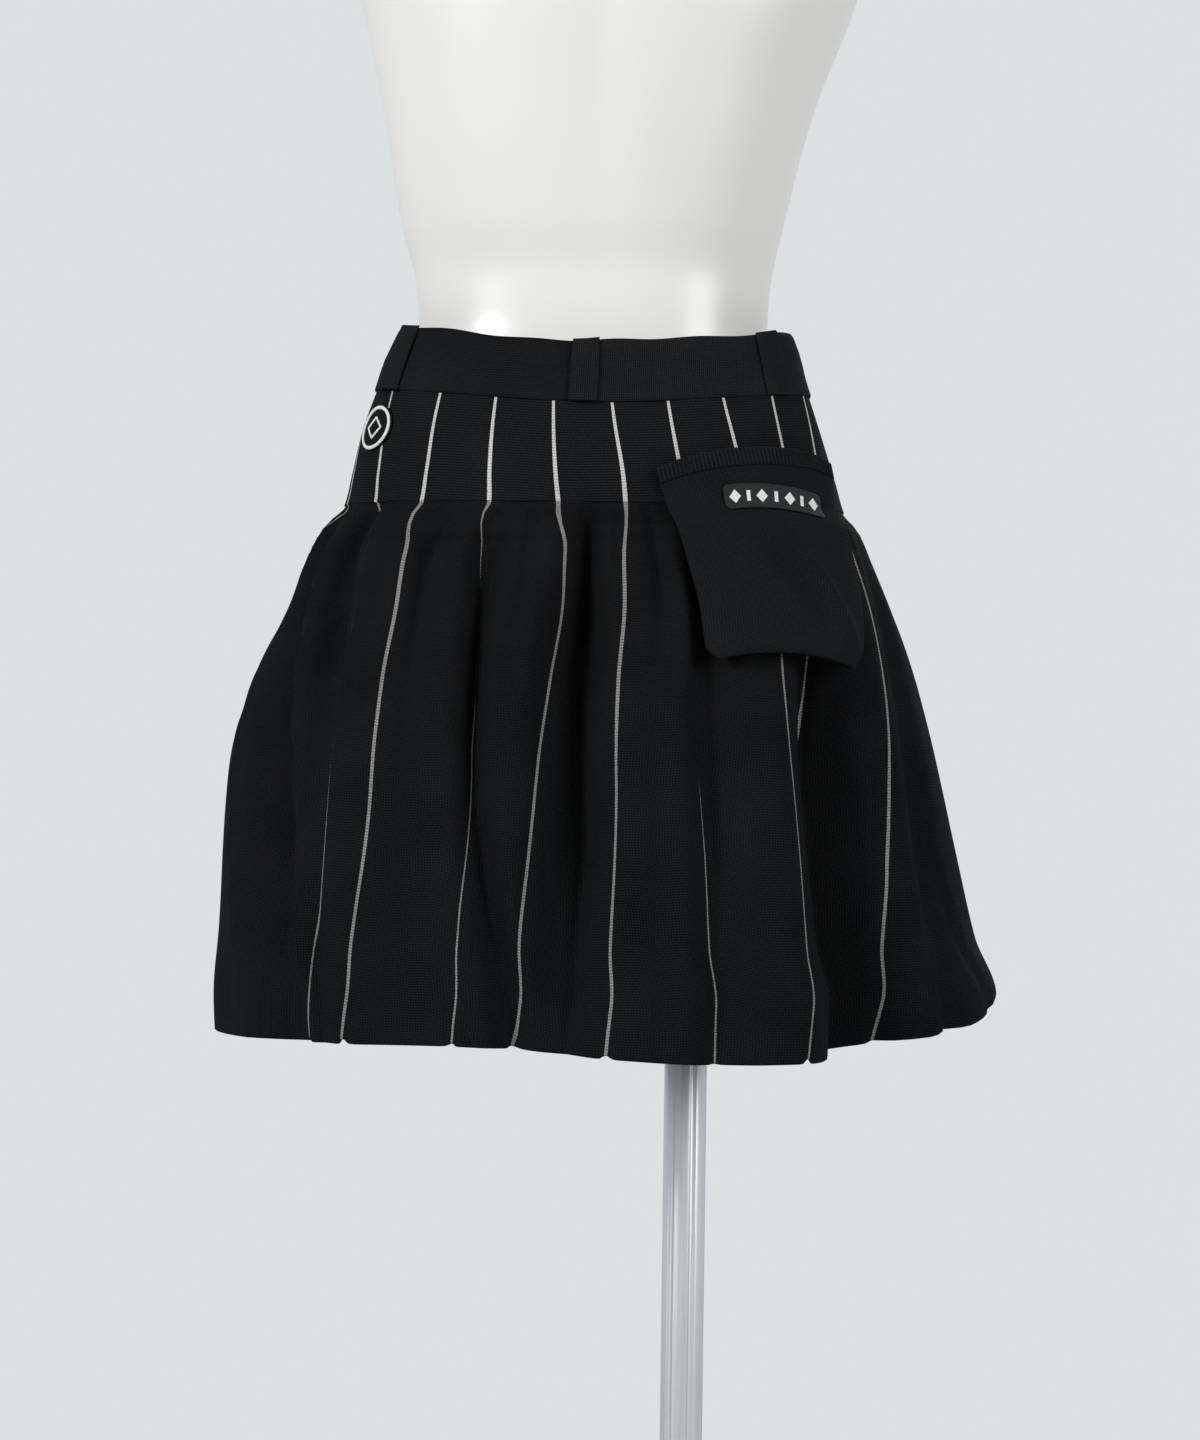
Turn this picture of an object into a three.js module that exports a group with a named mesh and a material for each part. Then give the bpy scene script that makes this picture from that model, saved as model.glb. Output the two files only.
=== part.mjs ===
// Knit skirt with a gathered lower panel, worn on a limbless form that stands on a pole.
// Millimetres, +Z up. The side that was photographed, the skirt's back, faces -Y.
import * as THREE from 'three';

// Driving dimensions. Heights in the tables below are above the hem, which is HEM above the floor.
const HEM = 640;
const SEAM = 0.3;
const KNIT = 2.0;
const BAND_THICK = 3.0;
const BAND_PROUD = 1.6;
const BAND_FOOT = 363;
const BAND_TOP = 398;
const YOKE_FOOT = 298.3;
const LOOP_THICK = 1.6;
const LOOP_RISE = 1.2;
const POCKET_WALL = 1.5;
const RIB_COUNT = 50;
const RIB_RELIEF = 0.6;
const LABEL_THICK = 1.0;
const PATCH_THICK = 1.0;
const POLE_X = 51;
const POLE_R = 12;
const BASE_R = 170;
const BASE_THICK = 8;
const FORM_FOOT = 95;

const GORE_STEPS = [0, 0.06, 0.2, 0.35, 0.5, 0.65, 0.8, 0.94];
const RING_COLUMNS = 60;

// Outline of the cloth, round the body at each height: half-widths to the left and right of the
// axis, depths to the near and far side, and how square the ring is.
const SECTION_COLUMNS = ['height', 'left', 'right', 'near', 'far', 'square'];
const CLOTH_SECTIONS = [
  [-5, 215, 226, 188, 184, 2.1],
  [30, 217, 225, 188, 184, 2.1],
  [60, 215, 213, 186, 182, 2.1],
  [110, 212, 202, 180, 176, 2.1],
  [155, 208, 192, 171, 167, 2.15],
  [200, 196, 179, 160, 155, 2.2],
  [240, 178, 165, 149, 144, 2.25],
  [270, 168, 153, 136, 132, 2.3],
  [288, 157, 145, 121, 117, 2.4],
  [298, 146, 136, 109, 105, 2.5],
  [314, 142, 131, 106, 102, 2.5],
  [340, 136, 123, 99, 96, 2.6],
  [364, 128, 115, 92, 89, 2.7],
  [400, 114, 104, 84, 82, 2.7],
];
const FORM_SECTIONS = [
  [95, 104, 98, 80, 78, 2.3],
  [101, 113, 107, 87, 85, 2.3],
  [130, 130, 123, 99, 96, 2.4],
  [180, 138, 129, 104, 100, 2.4],
  [250, 142, 132, 106, 102, 2.5],
  [298, 143.6, 133.6, 106.6, 102.6, 2.5],
  [314, 139.6, 128.6, 103.6, 99.6, 2.5],
  [340, 133.6, 120.6, 96.6, 93.6, 2.6],
  [352, 127, 113, 91, 88.5, 2.6],
  [375, 112, 98, 81, 80, 2.5],
  [400, 105, 91.5, 76, 76, 2.4],
  [425, 107, 93, 76, 78, 2.35],
  [455, 115, 99, 82, 86, 2.3],
  [523, 127, 116, 91, 103, 2.3],
  [588, 141, 140, 96, 122, 2.35],
  [640, 154, 153, 96, 124, 2.45],
  [690, 166, 165, 91, 107, 2.5],
  [725, 174, 173, 80, 84, 2.4],
  [748, 170, 169, 69, 70, 2.3],
  [764, 142, 141, 62, 62, 2.2],
  [778, 104, 104, 58, 58, 2.1],
  [792, 71, 71, 56, 56, 2.05],
  [815, 60, 60, 54, 54, 2],
  [856, 56, 56, 52, 52, 2],
  [862, 52, 52, 48, 48, 2],
];

// How far the hem is lifted at an angle round the body. Zero degrees is the near side, 90 the right.
const HEM_LIFT = [
  [-180, 6],
  [-120, 7],
  [-85, 5],
  [-50, 6],
  [-25, 8],
  [0, 3],
  [20, 0],
  [40, 1],
  [54, 10],
  [70, 18],
  [84, 29],
  [96, 26],
  [112, 14],
  [135, 5],
  [180, 6],
];

// Valleys between the folds: angle of the valley line at three heights, how deep it lies below the
// outline at five heights, its half-width in degrees at the hem and the top, and the share of its
// width that lies to the left of the line. Each runs down the panel.
const LOW_LEVEL = 136;
const PANEL_TOP = 298;
const FOLD_HEIGHTS = [0, LOW_LEVEL, 230, 285, PANEL_TOP];
const FOLDS = [
  { name: 'left_edge', at: [-86, -86, -88], deep: [7, 7, 5, 0, 0], wide: [6, 6], left: 0.5 },
  { name: 'left_broad', at: [-54, -59, -73], deep: [14, 19, 18, 7, 0], wide: [9, 7], left: 0.66 },
  { name: 'second_stripe', at: [-48, -50, -59], deep: [7, 8, 9, 8, 0], wide: [4.5, 5.5], left: 0.4 },
  { name: 'third_gather', at: [-33, -33, -40], deep: [0, 2, 8, 9, 0], wide: [7, 5.5], left: 0.5 },
  { name: 'fourth_stripe', at: [-15, -19.5, -24.5], deep: [11, 15, 14, 9, 0], wide: [5, 5], left: 0.5 },
  { name: 'centre', at: [-7, 0, 0.5], deep: [14, 34, 30, 8, 0], wide: [13, 8], left: 0.72 },
  { name: 'sixth_gather', at: [12, 14, 18], deep: [0, 0, 3, 6, 0], wide: [6, 5.5], left: 0.5 },
  { name: 'seventh_stripe', at: [19, 23, 26.5], deep: [7, 13, 14, 8, 0], wide: [8, 7], left: 0.5 },
  { name: 'under_pocket', at: [46, 47, 53], deep: [48, 40, 20, 7, 0], wide: [14, 12], left: 0.5 },
  { name: 'right_flank', at: [62, 65, 76], deep: [7, 7, 4, 1, 0], wide: [6, 6], left: 0.5 },
  { name: 'far_a', at: [106, 103, 103], deep: [26, 18, 12, 5, 0], wide: [12, 9], left: 0.6 },
  { name: 'far_b', at: [129, 131, 133], deep: [12, 15, 16, 7, 0], wide: [10, 8], left: 0.4 },
  { name: 'far_c', at: [151, 149, 150], deep: [32, 24, 18, 7, 0], wide: [12, 9], left: 0.5 },
  { name: 'far_d', at: [173, 170, 171], deep: [10, 14, 16, 7, 0], wide: [9, 8], left: 0.5 },
  { name: 'far_e', at: [-167, -168, -168], deep: [21, 17, 15, 6, 0], wide: [10, 8], left: 0.4 },
  { name: 'far_f', at: [-143, -146, -147], deep: [33, 26, 19, 8, 0], wide: [13, 9], left: 0.6 },
  { name: 'far_g', at: [-121, -120, -120], deep: [14, 16, 14, 6, 0], wide: [9, 8], left: 0.5 },
  { name: 'far_h', at: [-102, -102, -102], deep: [22, 17, 12, 4, 0], wide: [9, 8], left: 0.5 },
];

// Gathers below the yoke line: angle, depth, half-width in degrees and how far down each runs.
// Each is at its deepest GATHER_START below the line, and widens by GATHER_SPREAD a millimetre.
const GATHER_START = 22;
const GATHER_SPREAD = 0.006;
const GATHERS = [
  [-82, 4, 3.8, 60],
  [-67, 5, 3.6, 70],
  [-52, 3.5, 3.4, 45],
  [-46, 3.5, 3.2, 50],
  [-32, 5, 3.4, 60],
  [-18, 5, 3.2, 75],
  [-11, 4, 3.2, 50],
  [7, 3.5, 3.2, 45],
  [12, 3, 3, 40],
  [22, 3, 3.2, 40],
  [35, 4.5, 3.6, 60],
  [45, 3.5, 3.4, 45],
  [82, 4, 3.8, 60],
  [92, 4.5, 3.8, 60],
  [110, 4, 3.4, 50],
  [121, 5.5, 3.4, 85],
  [141, 4.5, 3.4, 60],
  [158, 5, 3.4, 55],
  [179, 4.5, 3.4, 75],
  [199, 5, 3.4, 65],
  [221, 4.5, 3.4, 60],
  [235, 5, 3.6, 55],
  [251, 4.5, 3.6, 70],
  [268, 4, 3.8, 50],
];

// The stripes between the gores: angle at the hem, low, high, at the yoke line and at the band.
const STRIPE_HEIGHTS = [0, LOW_LEVEL, 271, PANEL_TOP, 364];
const STRIPES = [
  [-95, -94, -85, -76.5, -79],
  [-51.5, -48, -52, -59.5, -64],
  [-43.5, -38, -41.5, -46, -46],
  [-24.5, -20.5, -24.5, -28.5, -30],
  [-15.5, -9, -5, -10, -12.5],
  [0, 5, 8, 9, 6.5],
  [18, 21, 23.5, 25, 24],
  [33, 38, 39, 41.5, 40],
  [40, 46, 53, 54, 55],
  [51, 55.6, 67.3, 66.5, 70.5],
  [90, 87, 86, 86, 86],
  [102, 101, 102, 102, 102],
  [107, 108, 117, 117, 118],
  [123, 124, 132, 133, 134],
  [140, 140, 149, 150, 150],
  [158, 156, 165, 167, 167],
  [175, 173, 182, 184, 184],
  [192, 189, 200, 200, 200],
  [208, 206, 216, 217, 216],
  [225, 222, 230, 233, 231],
  [238, 236, 245, 249, 247],
  [251, 251, 259, 265, 262],
];

// Rows of the pocket from its ribbed mouth down: share of its length, heights at the left edge,
// middle and right edge, angles of the two edges, how far its back is from the panel behind and
// how deep its hollow is at the middle.
const POCKET_COLUMNS = ['share', 'left', 'middle', 'right', 'from', 'to', 'away', 'hollow'];
const POCKET_ROWS = [
  [0, 308.6, 320.6, 315.6, 18.7, 71.3, 0.7, 1],
  [0.25, 280, 292, 288, 21, 65.2, 1.3, 2.4],
  [0.6, 249, 257, 250, 22, 60, 1.7, 5],
  [0.93, 220, 222.5, 215.5, 22.8, 55, 1.7, 7.5],
  [1, 213, 217, 209, 25, 52.5, 1.7, 7],
];
const RIB_ROWS = [
  [0, 317, 330, 324, 18, 72, 0.7, 1.3],
  [1, 309, 321, 316, 18.7, 71.3, 0.7, 1],
];

const LOOPS = [
  { at: -65, wide: 22 },
  { at: -3, wide: 15 },
  { at: 57, wide: 18 },
  { at: 128, wide: 16 },
  { at: -136, wide: 16 },
];

const radians = (degrees) => degrees * Math.PI / 180;

// Smooth curve through a short table, with no overshoot between its rows.
function along(knots, values, at) {
  const last = knots.length - 1;
  const t = Math.min(Math.max(at, knots[0]), knots[last]);
  let i = 0;
  while (i < last - 1 && t > knots[i + 1]) {
    i += 1;
  }
  const slope = (j) => (values[j + 1] - values[j]) / (knots[j + 1] - knots[j]);
  const lean = (j) => {
    if (j === 0) return slope(0);
    if (j === last) return slope(last - 1);
    const before = slope(j - 1);
    const after = slope(j);
    return before * after <= 0 ? 0 : 2 * before * after / (before + after);
  };
  const w = knots[i + 1] - knots[i];
  const s = (t - knots[i]) / w;
  const a = (2 * s ** 3 - 3 * s ** 2 + 1) * values[i];
  const b = (s ** 3 - 2 * s ** 2 + s) * w * lean(i);
  const c = (3 * s ** 2 - 2 * s ** 3) * values[i + 1];
  const d = (s ** 3 - s ** 2) * w * lean(i + 1);
  return a + b + c + d;
}

// The values of a table at a height or share between its rows, under the names of its columns.
function rowAt(rows, columns, key) {
  const knots = rows.map((row) => row[0]);
  const value = (column) => along(knots, rows.map((row) => row[column]), key);
  return Object.fromEntries(columns.map((name, i) => [name, value(i)]));
}

// A point on a ring and the outward direction there, from one row of a section table.
function ringPoint(shape, phi) {
  const { left, right, near, far, square } = shape;
  const half = (left + right) / 2;
  const depth = Math.cos(phi) > 0 ? near : far;
  const s = Math.abs(Math.sin(phi));
  const c = Math.abs(Math.cos(phi));
  const r = ((s / half) ** square + (c / depth) ** square) ** (-1 / square);
  const x = r * Math.sin(phi);
  const y = -r * Math.cos(phi);
  const gx = Math.sign(x) * Math.abs(x) ** (square - 1) / half ** square;
  const gy = Math.sign(y) * Math.abs(y) ** (square - 1) / depth ** square;
  const g = Math.hypot(gx, gy);
  return [x + (right - left) / 2, y, gx / g, gy / g];
}

function outlinePoint(phi, height, out) {
  const [x, y, nx, ny] = ringPoint(rowAt(CLOTH_SECTIONS, SECTION_COLUMNS, height), phi);
  return [x + nx * out, y + ny * out, HEM + height];
}

// Shape across a valley: creased at its line, round at both sides. t is 0 at the line, 1 outside.
function crease(t) {
  return t < 1 ? 0.4 * (1 + Math.cos(Math.PI * t)) / 2 + 0.6 * (1 - Math.sin(Math.PI * t / 2)) : 0;
}

function foldDepth(phi, height) {
  const degrees = phi * 180 / Math.PI;
  let depth = 0;
  for (const fold of FOLDS) {
    const at = along([0, LOW_LEVEL, PANEL_TOP], fold.at, height);
    const wide = 2 * along([0, PANEL_TOP], fold.wide, height);
    const away = (degrees - at + 900) % 360 - 180;
    const gap = away < 0 ? -away / (wide * fold.left) : away / (wide * (1 - fold.left));
    depth += along(FOLD_HEIGHTS, fold.deep, height) * crease(gap);
  }
  const below = YOKE_FOOT - height;
  for (const [at, deep, wide, length] of GATHERS) {
    const spread = wide * (1 + GATHER_SPREAD * below);
    const gap = Math.abs((degrees - at + 540) % 360 - 180) / spread;
    if (gap < 1 && below > 0) {
      const fade = Math.min(below / GATHER_START, 1) ** 1.5 * Math.exp(-1.6 * (below / length) ** 2);
      depth += deep * fade * crease(gap);
    }
  }
  return depth;
}

function foldedXY(phi, height) {
  const [x, y, nx, ny] = ringPoint(rowAt(CLOTH_SECTIONS, SECTION_COLUMNS, height), phi);
  const depth = foldDepth(phi, height);
  return [x - nx * depth, y - ny * depth];
}

function foldedPoint(phi, height, inward) {
  const [x, y] = foldedXY(phi, height);
  const [ax, ay] = foldedXY(phi - 0.01, height);
  const [bx, by] = foldedXY(phi + 0.01, height);
  const length = Math.hypot(bx - ax, by - ay);
  const nx = (by - ay) / length;
  const ny = -(bx - ax) / length;
  return [x - nx * inward, y - ny * inward, HEM + height];
}

function stripeAngle(index, height) {
  const turn = Math.floor(index / STRIPES.length);
  const row = STRIPES[index - turn * STRIPES.length];
  return along(STRIPE_HEIGHTS, row, height) + 360 * turn;
}

function goreAngle(gore, part, height) {
  const from = stripeAngle(gore, height);
  const to = stripeAngle(gore + 1, height);
  return radians(from + (to - from) * part);
}

function hemLift(phi) {
  const degrees = ((phi * 180 / Math.PI + 540) % 360) - 180;
  return along(HEM_LIFT.map((row) => row[0]), HEM_LIFT.map((row) => row[1]), degrees);
}

// The waist dips at the centre back and rises at the front.
function waistLift(phi) {
  const c = Math.cos(phi);
  return c > 0 ? -11 * c * c : 7 * c * c;
}

// Mesh builders. Each takes rows of points and gives one closed body.
function closedMesh(points, faces) {
  const geometry = new THREE.BufferGeometry();
  geometry.setAttribute('position', new THREE.Float32BufferAttribute(points.flat(), 3));
  geometry.setIndex(faces.flat());
  geometry.computeVertexNormals();
  return geometry;
}

function volume(points, faces) {
  let total = 0;
  for (const [a, b, c] of faces) {
    const [p, q, r] = [points[a], points[b], points[c]];
    total += p[0] * (q[1] * r[2] - q[2] * r[1]);
    total += p[1] * (q[2] * r[0] - q[0] * r[2]);
    total += p[2] * (q[0] * r[1] - q[1] * r[0]);
  }
  return total / 6;
}

function facingOut(points, faces) {
  const turned = volume(points, faces) < 0 ? faces.map(([a, b, c]) => [a, c, b]) : faces;
  return closedMesh(points, turned);
}

function quad(faces, a, b, c, d) {
  faces.push([a, b, c], [a, c, d]);
}

// A wall between outer and inner rings, joined along its top and foot.
function wall(outer, inner) {
  const rows = outer.length;
  const n = outer[0].length;
  const points = [...outer.flat(), ...inner.flat()];
  const faces = [];
  const at = (side, row, i) => side * rows * n + row * n + i % n;
  for (let i = 0; i < n; i += 1) {
    for (let row = 0; row < rows - 1; row += 1) {
      quad(faces, at(0, row, i), at(0, row, i + 1), at(0, row + 1, i + 1), at(0, row + 1, i));
      quad(faces, at(1, row, i + 1), at(1, row, i), at(1, row + 1, i), at(1, row + 1, i + 1));
    }
    quad(faces, at(1, 0, i), at(1, 0, i + 1), at(0, 0, i + 1), at(0, 0, i));
    const top = rows - 1;
    quad(faces, at(0, top, i), at(0, top, i + 1), at(1, top, i + 1), at(1, top, i));
  }
  return facingOut(points, faces);
}

// A solid stack of rings, closed with a flat cap at each end.
function stack(rings) {
  const n = rings[0].length;
  const points = rings.flat();
  const faces = [];
  for (let row = 0; row < rings.length - 1; row += 1) {
    for (let i = 0; i < n; i += 1) {
      const j = (i + 1) % n;
      quad(faces, row * n + i, row * n + j, (row + 1) * n + j, (row + 1) * n + i);
    }
  }
  const middle = (ring) => ring[0].map((_, k) => ring.reduce((sum, p) => sum + p[k], 0) / n);
  const low = points.push(middle(rings[0])) - 1;
  const high = points.push(middle(rings[rings.length - 1])) - 1;
  const top = (rings.length - 1) * n;
  for (let i = 0; i < n; i += 1) {
    const j = (i + 1) % n;
    faces.push([low, j, i], [high, top + i, top + j]);
  }
  return facingOut(points, faces);
}

// A slab between two open grids of equal size.
function slab(front, back) {
  const rows = front.length;
  const n = front[0].length;
  const points = [...front.flat(), ...back.flat()];
  const faces = [];
  const at = (side, row, i) => side * rows * n + row * n + i;
  for (let row = 0; row < rows - 1; row += 1) {
    for (let i = 0; i < n - 1; i += 1) {
      quad(faces, at(0, row, i), at(0, row, i + 1), at(0, row + 1, i + 1), at(0, row + 1, i));
      quad(faces, at(1, row, i + 1), at(1, row, i), at(1, row + 1, i), at(1, row + 1, i + 1));
    }
    quad(faces, at(1, row, 0), at(0, row, 0), at(0, row + 1, 0), at(1, row + 1, 0));
    quad(faces, at(0, row, n - 1), at(1, row, n - 1), at(1, row + 1, n - 1), at(0, row + 1, n - 1));
  }
  const last = rows - 1;
  for (let i = 0; i < n - 1; i += 1) {
    quad(faces, at(1, 0, i), at(1, 0, i + 1), at(0, 0, i + 1), at(0, 0, i));
    quad(faces, at(0, last, i), at(0, last, i + 1), at(1, last, i + 1), at(1, last, i));
  }
  return facingOut(points, faces);
}

// A pouch: loops go round front and back, the last loop is closed flat, the first is the mouth.
function pouch(outer, inner) {
  const n = outer[0].length;
  const half = n / 2;
  const points = [...outer.flat(), ...inner.flat()];
  const faces = [];
  const shift = outer.length * n;
  const skin = (base, rows, flip) => {
    const at = (row, i) => base + row * n + i % n;
    const put = (a, b, c, d) => (flip ? quad(faces, d, c, b, a) : quad(faces, a, b, c, d));
    for (let row = 0; row < rows - 1; row += 1) {
      for (let i = 0; i < n; i += 1) {
        put(at(row, i), at(row, i + 1), at(row + 1, i + 1), at(row + 1, i));
      }
    }
    for (let i = 0; i < half - 1; i += 1) {
      put(at(rows - 1, i), at(rows - 1, i + 1), at(rows - 1, n - 2 - i), at(rows - 1, n - 1 - i));
    }
  };
  skin(0, outer.length, false);
  skin(shift, inner.length, true);
  for (let i = 0; i < n; i += 1) {
    const j = (i + 1) % n;
    quad(faces, shift + i, shift + j, j, i);
  }
  return facingOut(points, faces);
}

const group = new THREE.Group();
group.name = 'knit_skirt';

function add(name, geometry, color, roughness, metalness = 0) {
  const material = new THREE.MeshStandardMaterial({ color, roughness, metalness });
  material.name = name;
  const mesh = new THREE.Mesh(geometry, material);
  mesh.name = name;
  group.add(mesh);
}

const BLACK_KNIT = 0x202124;
const BLACK_LABEL = 0x303236;
const FORM_WHITE = 0xe8e6e0;
const ALUMINIUM = 0xc8cbd0;
const STEEL = 0xb9bcc0;

function ringAngles() {
  return Array.from({ length: RING_COLUMNS }, (_, i) => radians(360 * i / RING_COLUMNS));
}

// Lower panel: four sections meet in seams under stripes, at both sides and near both centres.
// Each is one wall, with a small notch in its hem where a stripe ends.
const FLARE_LEVELS = [0, 15, 62, 112, 158, 200, 234, 258, 276, 288, PANEL_TOP];
const SECTIONS = [
  { name: 'lower_panel_back_left', fromGore: 0, toGore: 5 },
  { name: 'lower_panel_back_right', fromGore: 5, toGore: 11 },
  { name: 'lower_panel_front_right', fromGore: 11, toGore: 16 },
  { name: 'lower_panel_front_left', fromGore: 16, toGore: 22 },
];
const SEAM_ANGLE = 0.08;
const HEM_NOTCH = 3;

function panelRow(level, fromGore, toGore, inward) {
  const row = [];
  for (let gore = fromGore; gore <= toGore; gore += 1) {
    for (const part of gore < toGore ? GORE_STEPS : [0]) {
      const ends = { [fromGore]: radians(SEAM_ANGLE), [toGore]: -radians(SEAM_ANGLE) };
      const trim = part === 0 ? ends[gore] ?? 0 : 0;
      const rough = goreAngle(gore, part, level);
      const share = (1 - level / PANEL_TOP) ** 2;
      const notch = level === 0 && part === 0 ? HEM_NOTCH : 0;
      const height = level + hemLift(rough) * share + notch;
      row.push(foldedPoint(goreAngle(gore, part, height) + trim, height, inward));
    }
  }
  return row;
}

function panelSection({ fromGore, toGore }) {
  return slab(
    FLARE_LEVELS.map((level) => panelRow(level, fromGore, toGore, 0)),
    FLARE_LEVELS.map((level) => panelRow(level, fromGore, toGore, KNIT)),
  );
}

SECTIONS.forEach((section) => {
  add(section.name, panelSection(section), BLACK_KNIT, 0.95);
});

// Yoke: smooth ring between the lower panel and the waistband.
function yokeRing(share, out) {
  return ringAngles().map((phi) => {
    const top = BAND_FOOT + 0.9 * waistLift(phi) - SEAM;
    return outlinePoint(phi, YOKE_FOOT + (top - YOKE_FOOT) * share, out);
  });
}

add('yoke', wall(
  [0, 0.25, 0.63, 1].map((share) => yokeRing(share, 0)),
  [0, 0.25, 0.63, 1].map((share) => yokeRing(share, -KNIT)),
), BLACK_KNIT, 0.95);

// Waistband: a double thickness that stands a little proud of the yoke.
function bandHeight(phi, share) {
  const foot = BAND_FOOT + 0.9 * waistLift(phi);
  const top = BAND_TOP + waistLift(phi);
  return foot + (top - foot) * share;
}

function bandPoint(phi, share, out) {
  return outlinePoint(phi, bandHeight(phi, share), BAND_PROUD + out);
}

add('waistband', wall(
  [0, 0.5, 1].map((share) => ringAngles().map((phi) => bandPoint(phi, share, 0))),
  [0, 0.5, 1].map((share) => ringAngles().map((phi) => bandPoint(phi, share, -BAND_THICK))),
), BLACK_KNIT, 0.95);

// Belt loops: flat strips over the band, held at both ends and standing off between them.
function loopGrid(loop, out) {
  const shares = [0.01, 0.1, 0.5, 0.92, 1 + LOOP_RISE / (BAND_TOP - BAND_FOOT)];
  const away = [0, 0.3, 0.7, 0.4, 0.2];
  const middle = bandPoint(radians(loop.at), 0.5, 0);
  const next = bandPoint(radians(loop.at + 1), 0.5, 0);
  const perDegree = Math.hypot(next[0] - middle[0], next[1] - middle[1]);
  const half = loop.wide / 2 / perDegree;
  return shares.map((share, row) => [-1, -0.5, 0, 0.5, 1].map((side) => {
    const phi = radians(loop.at + side * half);
    return bandPoint(phi, share, SEAM + 0.15 + away[row] + out);
  }));
}

LOOPS.forEach((loop, i) => {
  add(`belt_loop_${i + 1}`, slab(loopGrid(loop, LOOP_THICK), loopGrid(loop, 0)), BLACK_KNIT, 0.95);
});

// Pocket: a pouch that hangs over the folds from a ribbed mouth on the yoke.
function pocketPoint(rows, across, down, out) {
  const { left, middle, right, from, to, away } = rowAt(rows, POCKET_COLUMNS, down);
  const l = 2 * (across - 0.5) * (across - 1);
  const m = 4 * across * (1 - across);
  const r = 2 * across * (across - 0.5);
  const height = left * l + middle * m + right * r;
  const phi = radians(from + (to - from) * across);
  return outlinePoint(phi, height, away + out);
}

function hollowDepth(rows, across, down) {
  const belly = Math.max(Math.sin(Math.PI * across), 0) ** 0.8;
  return rowAt(rows, POCKET_COLUMNS, down).hollow * belly;
}

const ACROSS = [0, 0.07, 0.18, 0.3, 0.42, 0.5, 0.58, 0.7, 0.82, 0.93, 1];
const ACROSS_IN = [0.03, 0.08, 0.18, 0.3, 0.42, 0.5, 0.58, 0.7, 0.82, 0.92, 0.97];
const DOWN = [0, 0.09, 0.135, 0.18, 0.22, 0.27, 0.36, 0.48, 0.6, 0.75, 0.88, 0.95, 1];
const DOWN_IN = [0, 0.09, 0.135, 0.18, 0.22, 0.27, 0.36, 0.48, 0.6, 0.75, 0.88, 0.94, 0.98];

function pocketFront(across, down, out) {
  const hollow = hollowDepth(POCKET_ROWS, across, down);
  return pocketPoint(POCKET_ROWS, across, down, 2 * POCKET_WALL + hollow + out);
}

function pocketLoop(acrossList, down, inset) {
  const front = acrossList.map((across) => pocketFront(across, down, -inset));
  const back = acrossList.map((across) => pocketPoint(POCKET_ROWS, across, down, inset)).reverse();
  return [...front, ...back];
}

add('pocket', pouch(
  DOWN.map((down) => pocketLoop(ACROSS, down, 0)),
  DOWN_IN.map((down) => pocketLoop(ACROSS_IN, down, POCKET_WALL)),
), BLACK_KNIT, 0.95);

// The pocket's ribbed mouth: one slab with a row of upright ribs.
function ribGrid(front) {
  return [0, 0.5, 1].map((down) => Array.from({ length: 2 * RIB_COUNT + 1 }, (_, i) => {
    const across = i / (2 * RIB_COUNT);
    const hollow = hollowDepth(RIB_ROWS, across, down);
    const relief = i % 2 === 1 ? RIB_RELIEF : 0;
    const out = front ? 2 * POCKET_WALL + hollow + relief : hollow;
    return pocketPoint(RIB_ROWS, across, down, out);
  }));
}

add('pocket_rib', slab(ribGrid(true), ribGrid(false)), BLACK_KNIT, 0.95);

// Label on the pocket, bare, made from the pocket's own surface moved out.
const LABEL_SPAN = { from: 0.3, to: 0.85, top: 0.084, foot: 0.2, droop: 0.045 };

function labelGrid(out) {
  const columns = [LABEL_SPAN.from, 0.32, 0.42, 0.5, 0.58, 0.7, 0.82, LABEL_SPAN.to];
  return [0, 0.2, 0.5, 0.8, 1].map((down, row) => columns.map((s, i) => {
    const ends = i === 0 || i === columns.length - 1;
    const across = (s - LABEL_SPAN.from) / (LABEL_SPAN.to - LABEL_SPAN.from);
    const edge = row === 0 || row === 4;
    const trim = ends && edge ? 0.2 * (down < 0.5 ? 1 : -1) : 0;
    const t = LABEL_SPAN.top + (LABEL_SPAN.foot - LABEL_SPAN.top) * (down + trim * 0.9);
    return pocketFront(s, t + LABEL_SPAN.droop * across ** 2, 3 * SEAM + out);
  }));
}

add('pocket_label', slab(labelGrid(LABEL_THICK), labelGrid(0)), BLACK_LABEL, 0.5);

// Side patch: a plain oval on the yoke, just under the band.
const PATCH = { at: -66, height: 340, halfAngle: 7, halfHeight: 12.5 };

function patchGrid(out) {
  const shares = [-1, -0.92, -0.6, 0, 0.6, 0.92, 1];
  return shares.map((v) => [-1, -0.6, -0.2, 0.2, 0.6, 1].map((u) => {
    const width = Math.sqrt(Math.max(1 - v * v, 0.09));
    const phi = radians(PATCH.at + PATCH.halfAngle * u * width);
    return outlinePoint(phi, PATCH.height + PATCH.halfHeight * v, SEAM + 0.15 + out);
  }));
}

add('side_patch', slab(patchGrid(PATCH_THICK), patchGrid(0)), BLACK_KNIT, 0.9);

// Body form, smooth and whole, with no limbs.
function formRing(row) {
  return ringAngles().map((phi) => {
    const [x, y] = ringPoint(rowAt(FORM_SECTIONS, SECTION_COLUMNS, row[0]), phi);
    return [x, y, HEM + row[0]];
  });
}

add('form_torso', stack(FORM_SECTIONS.map(formRing)), FORM_WHITE, 0.3);

// Stand: disc under the form, fluted pole, round base on the floor.
function disc(x, r, z, n) {
  return Array.from({ length: n }, (_, i) => {
    const a = radians(360 * i / n);
    return [x + r * Math.cos(a), r * Math.sin(a), z];
  });
}

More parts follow.
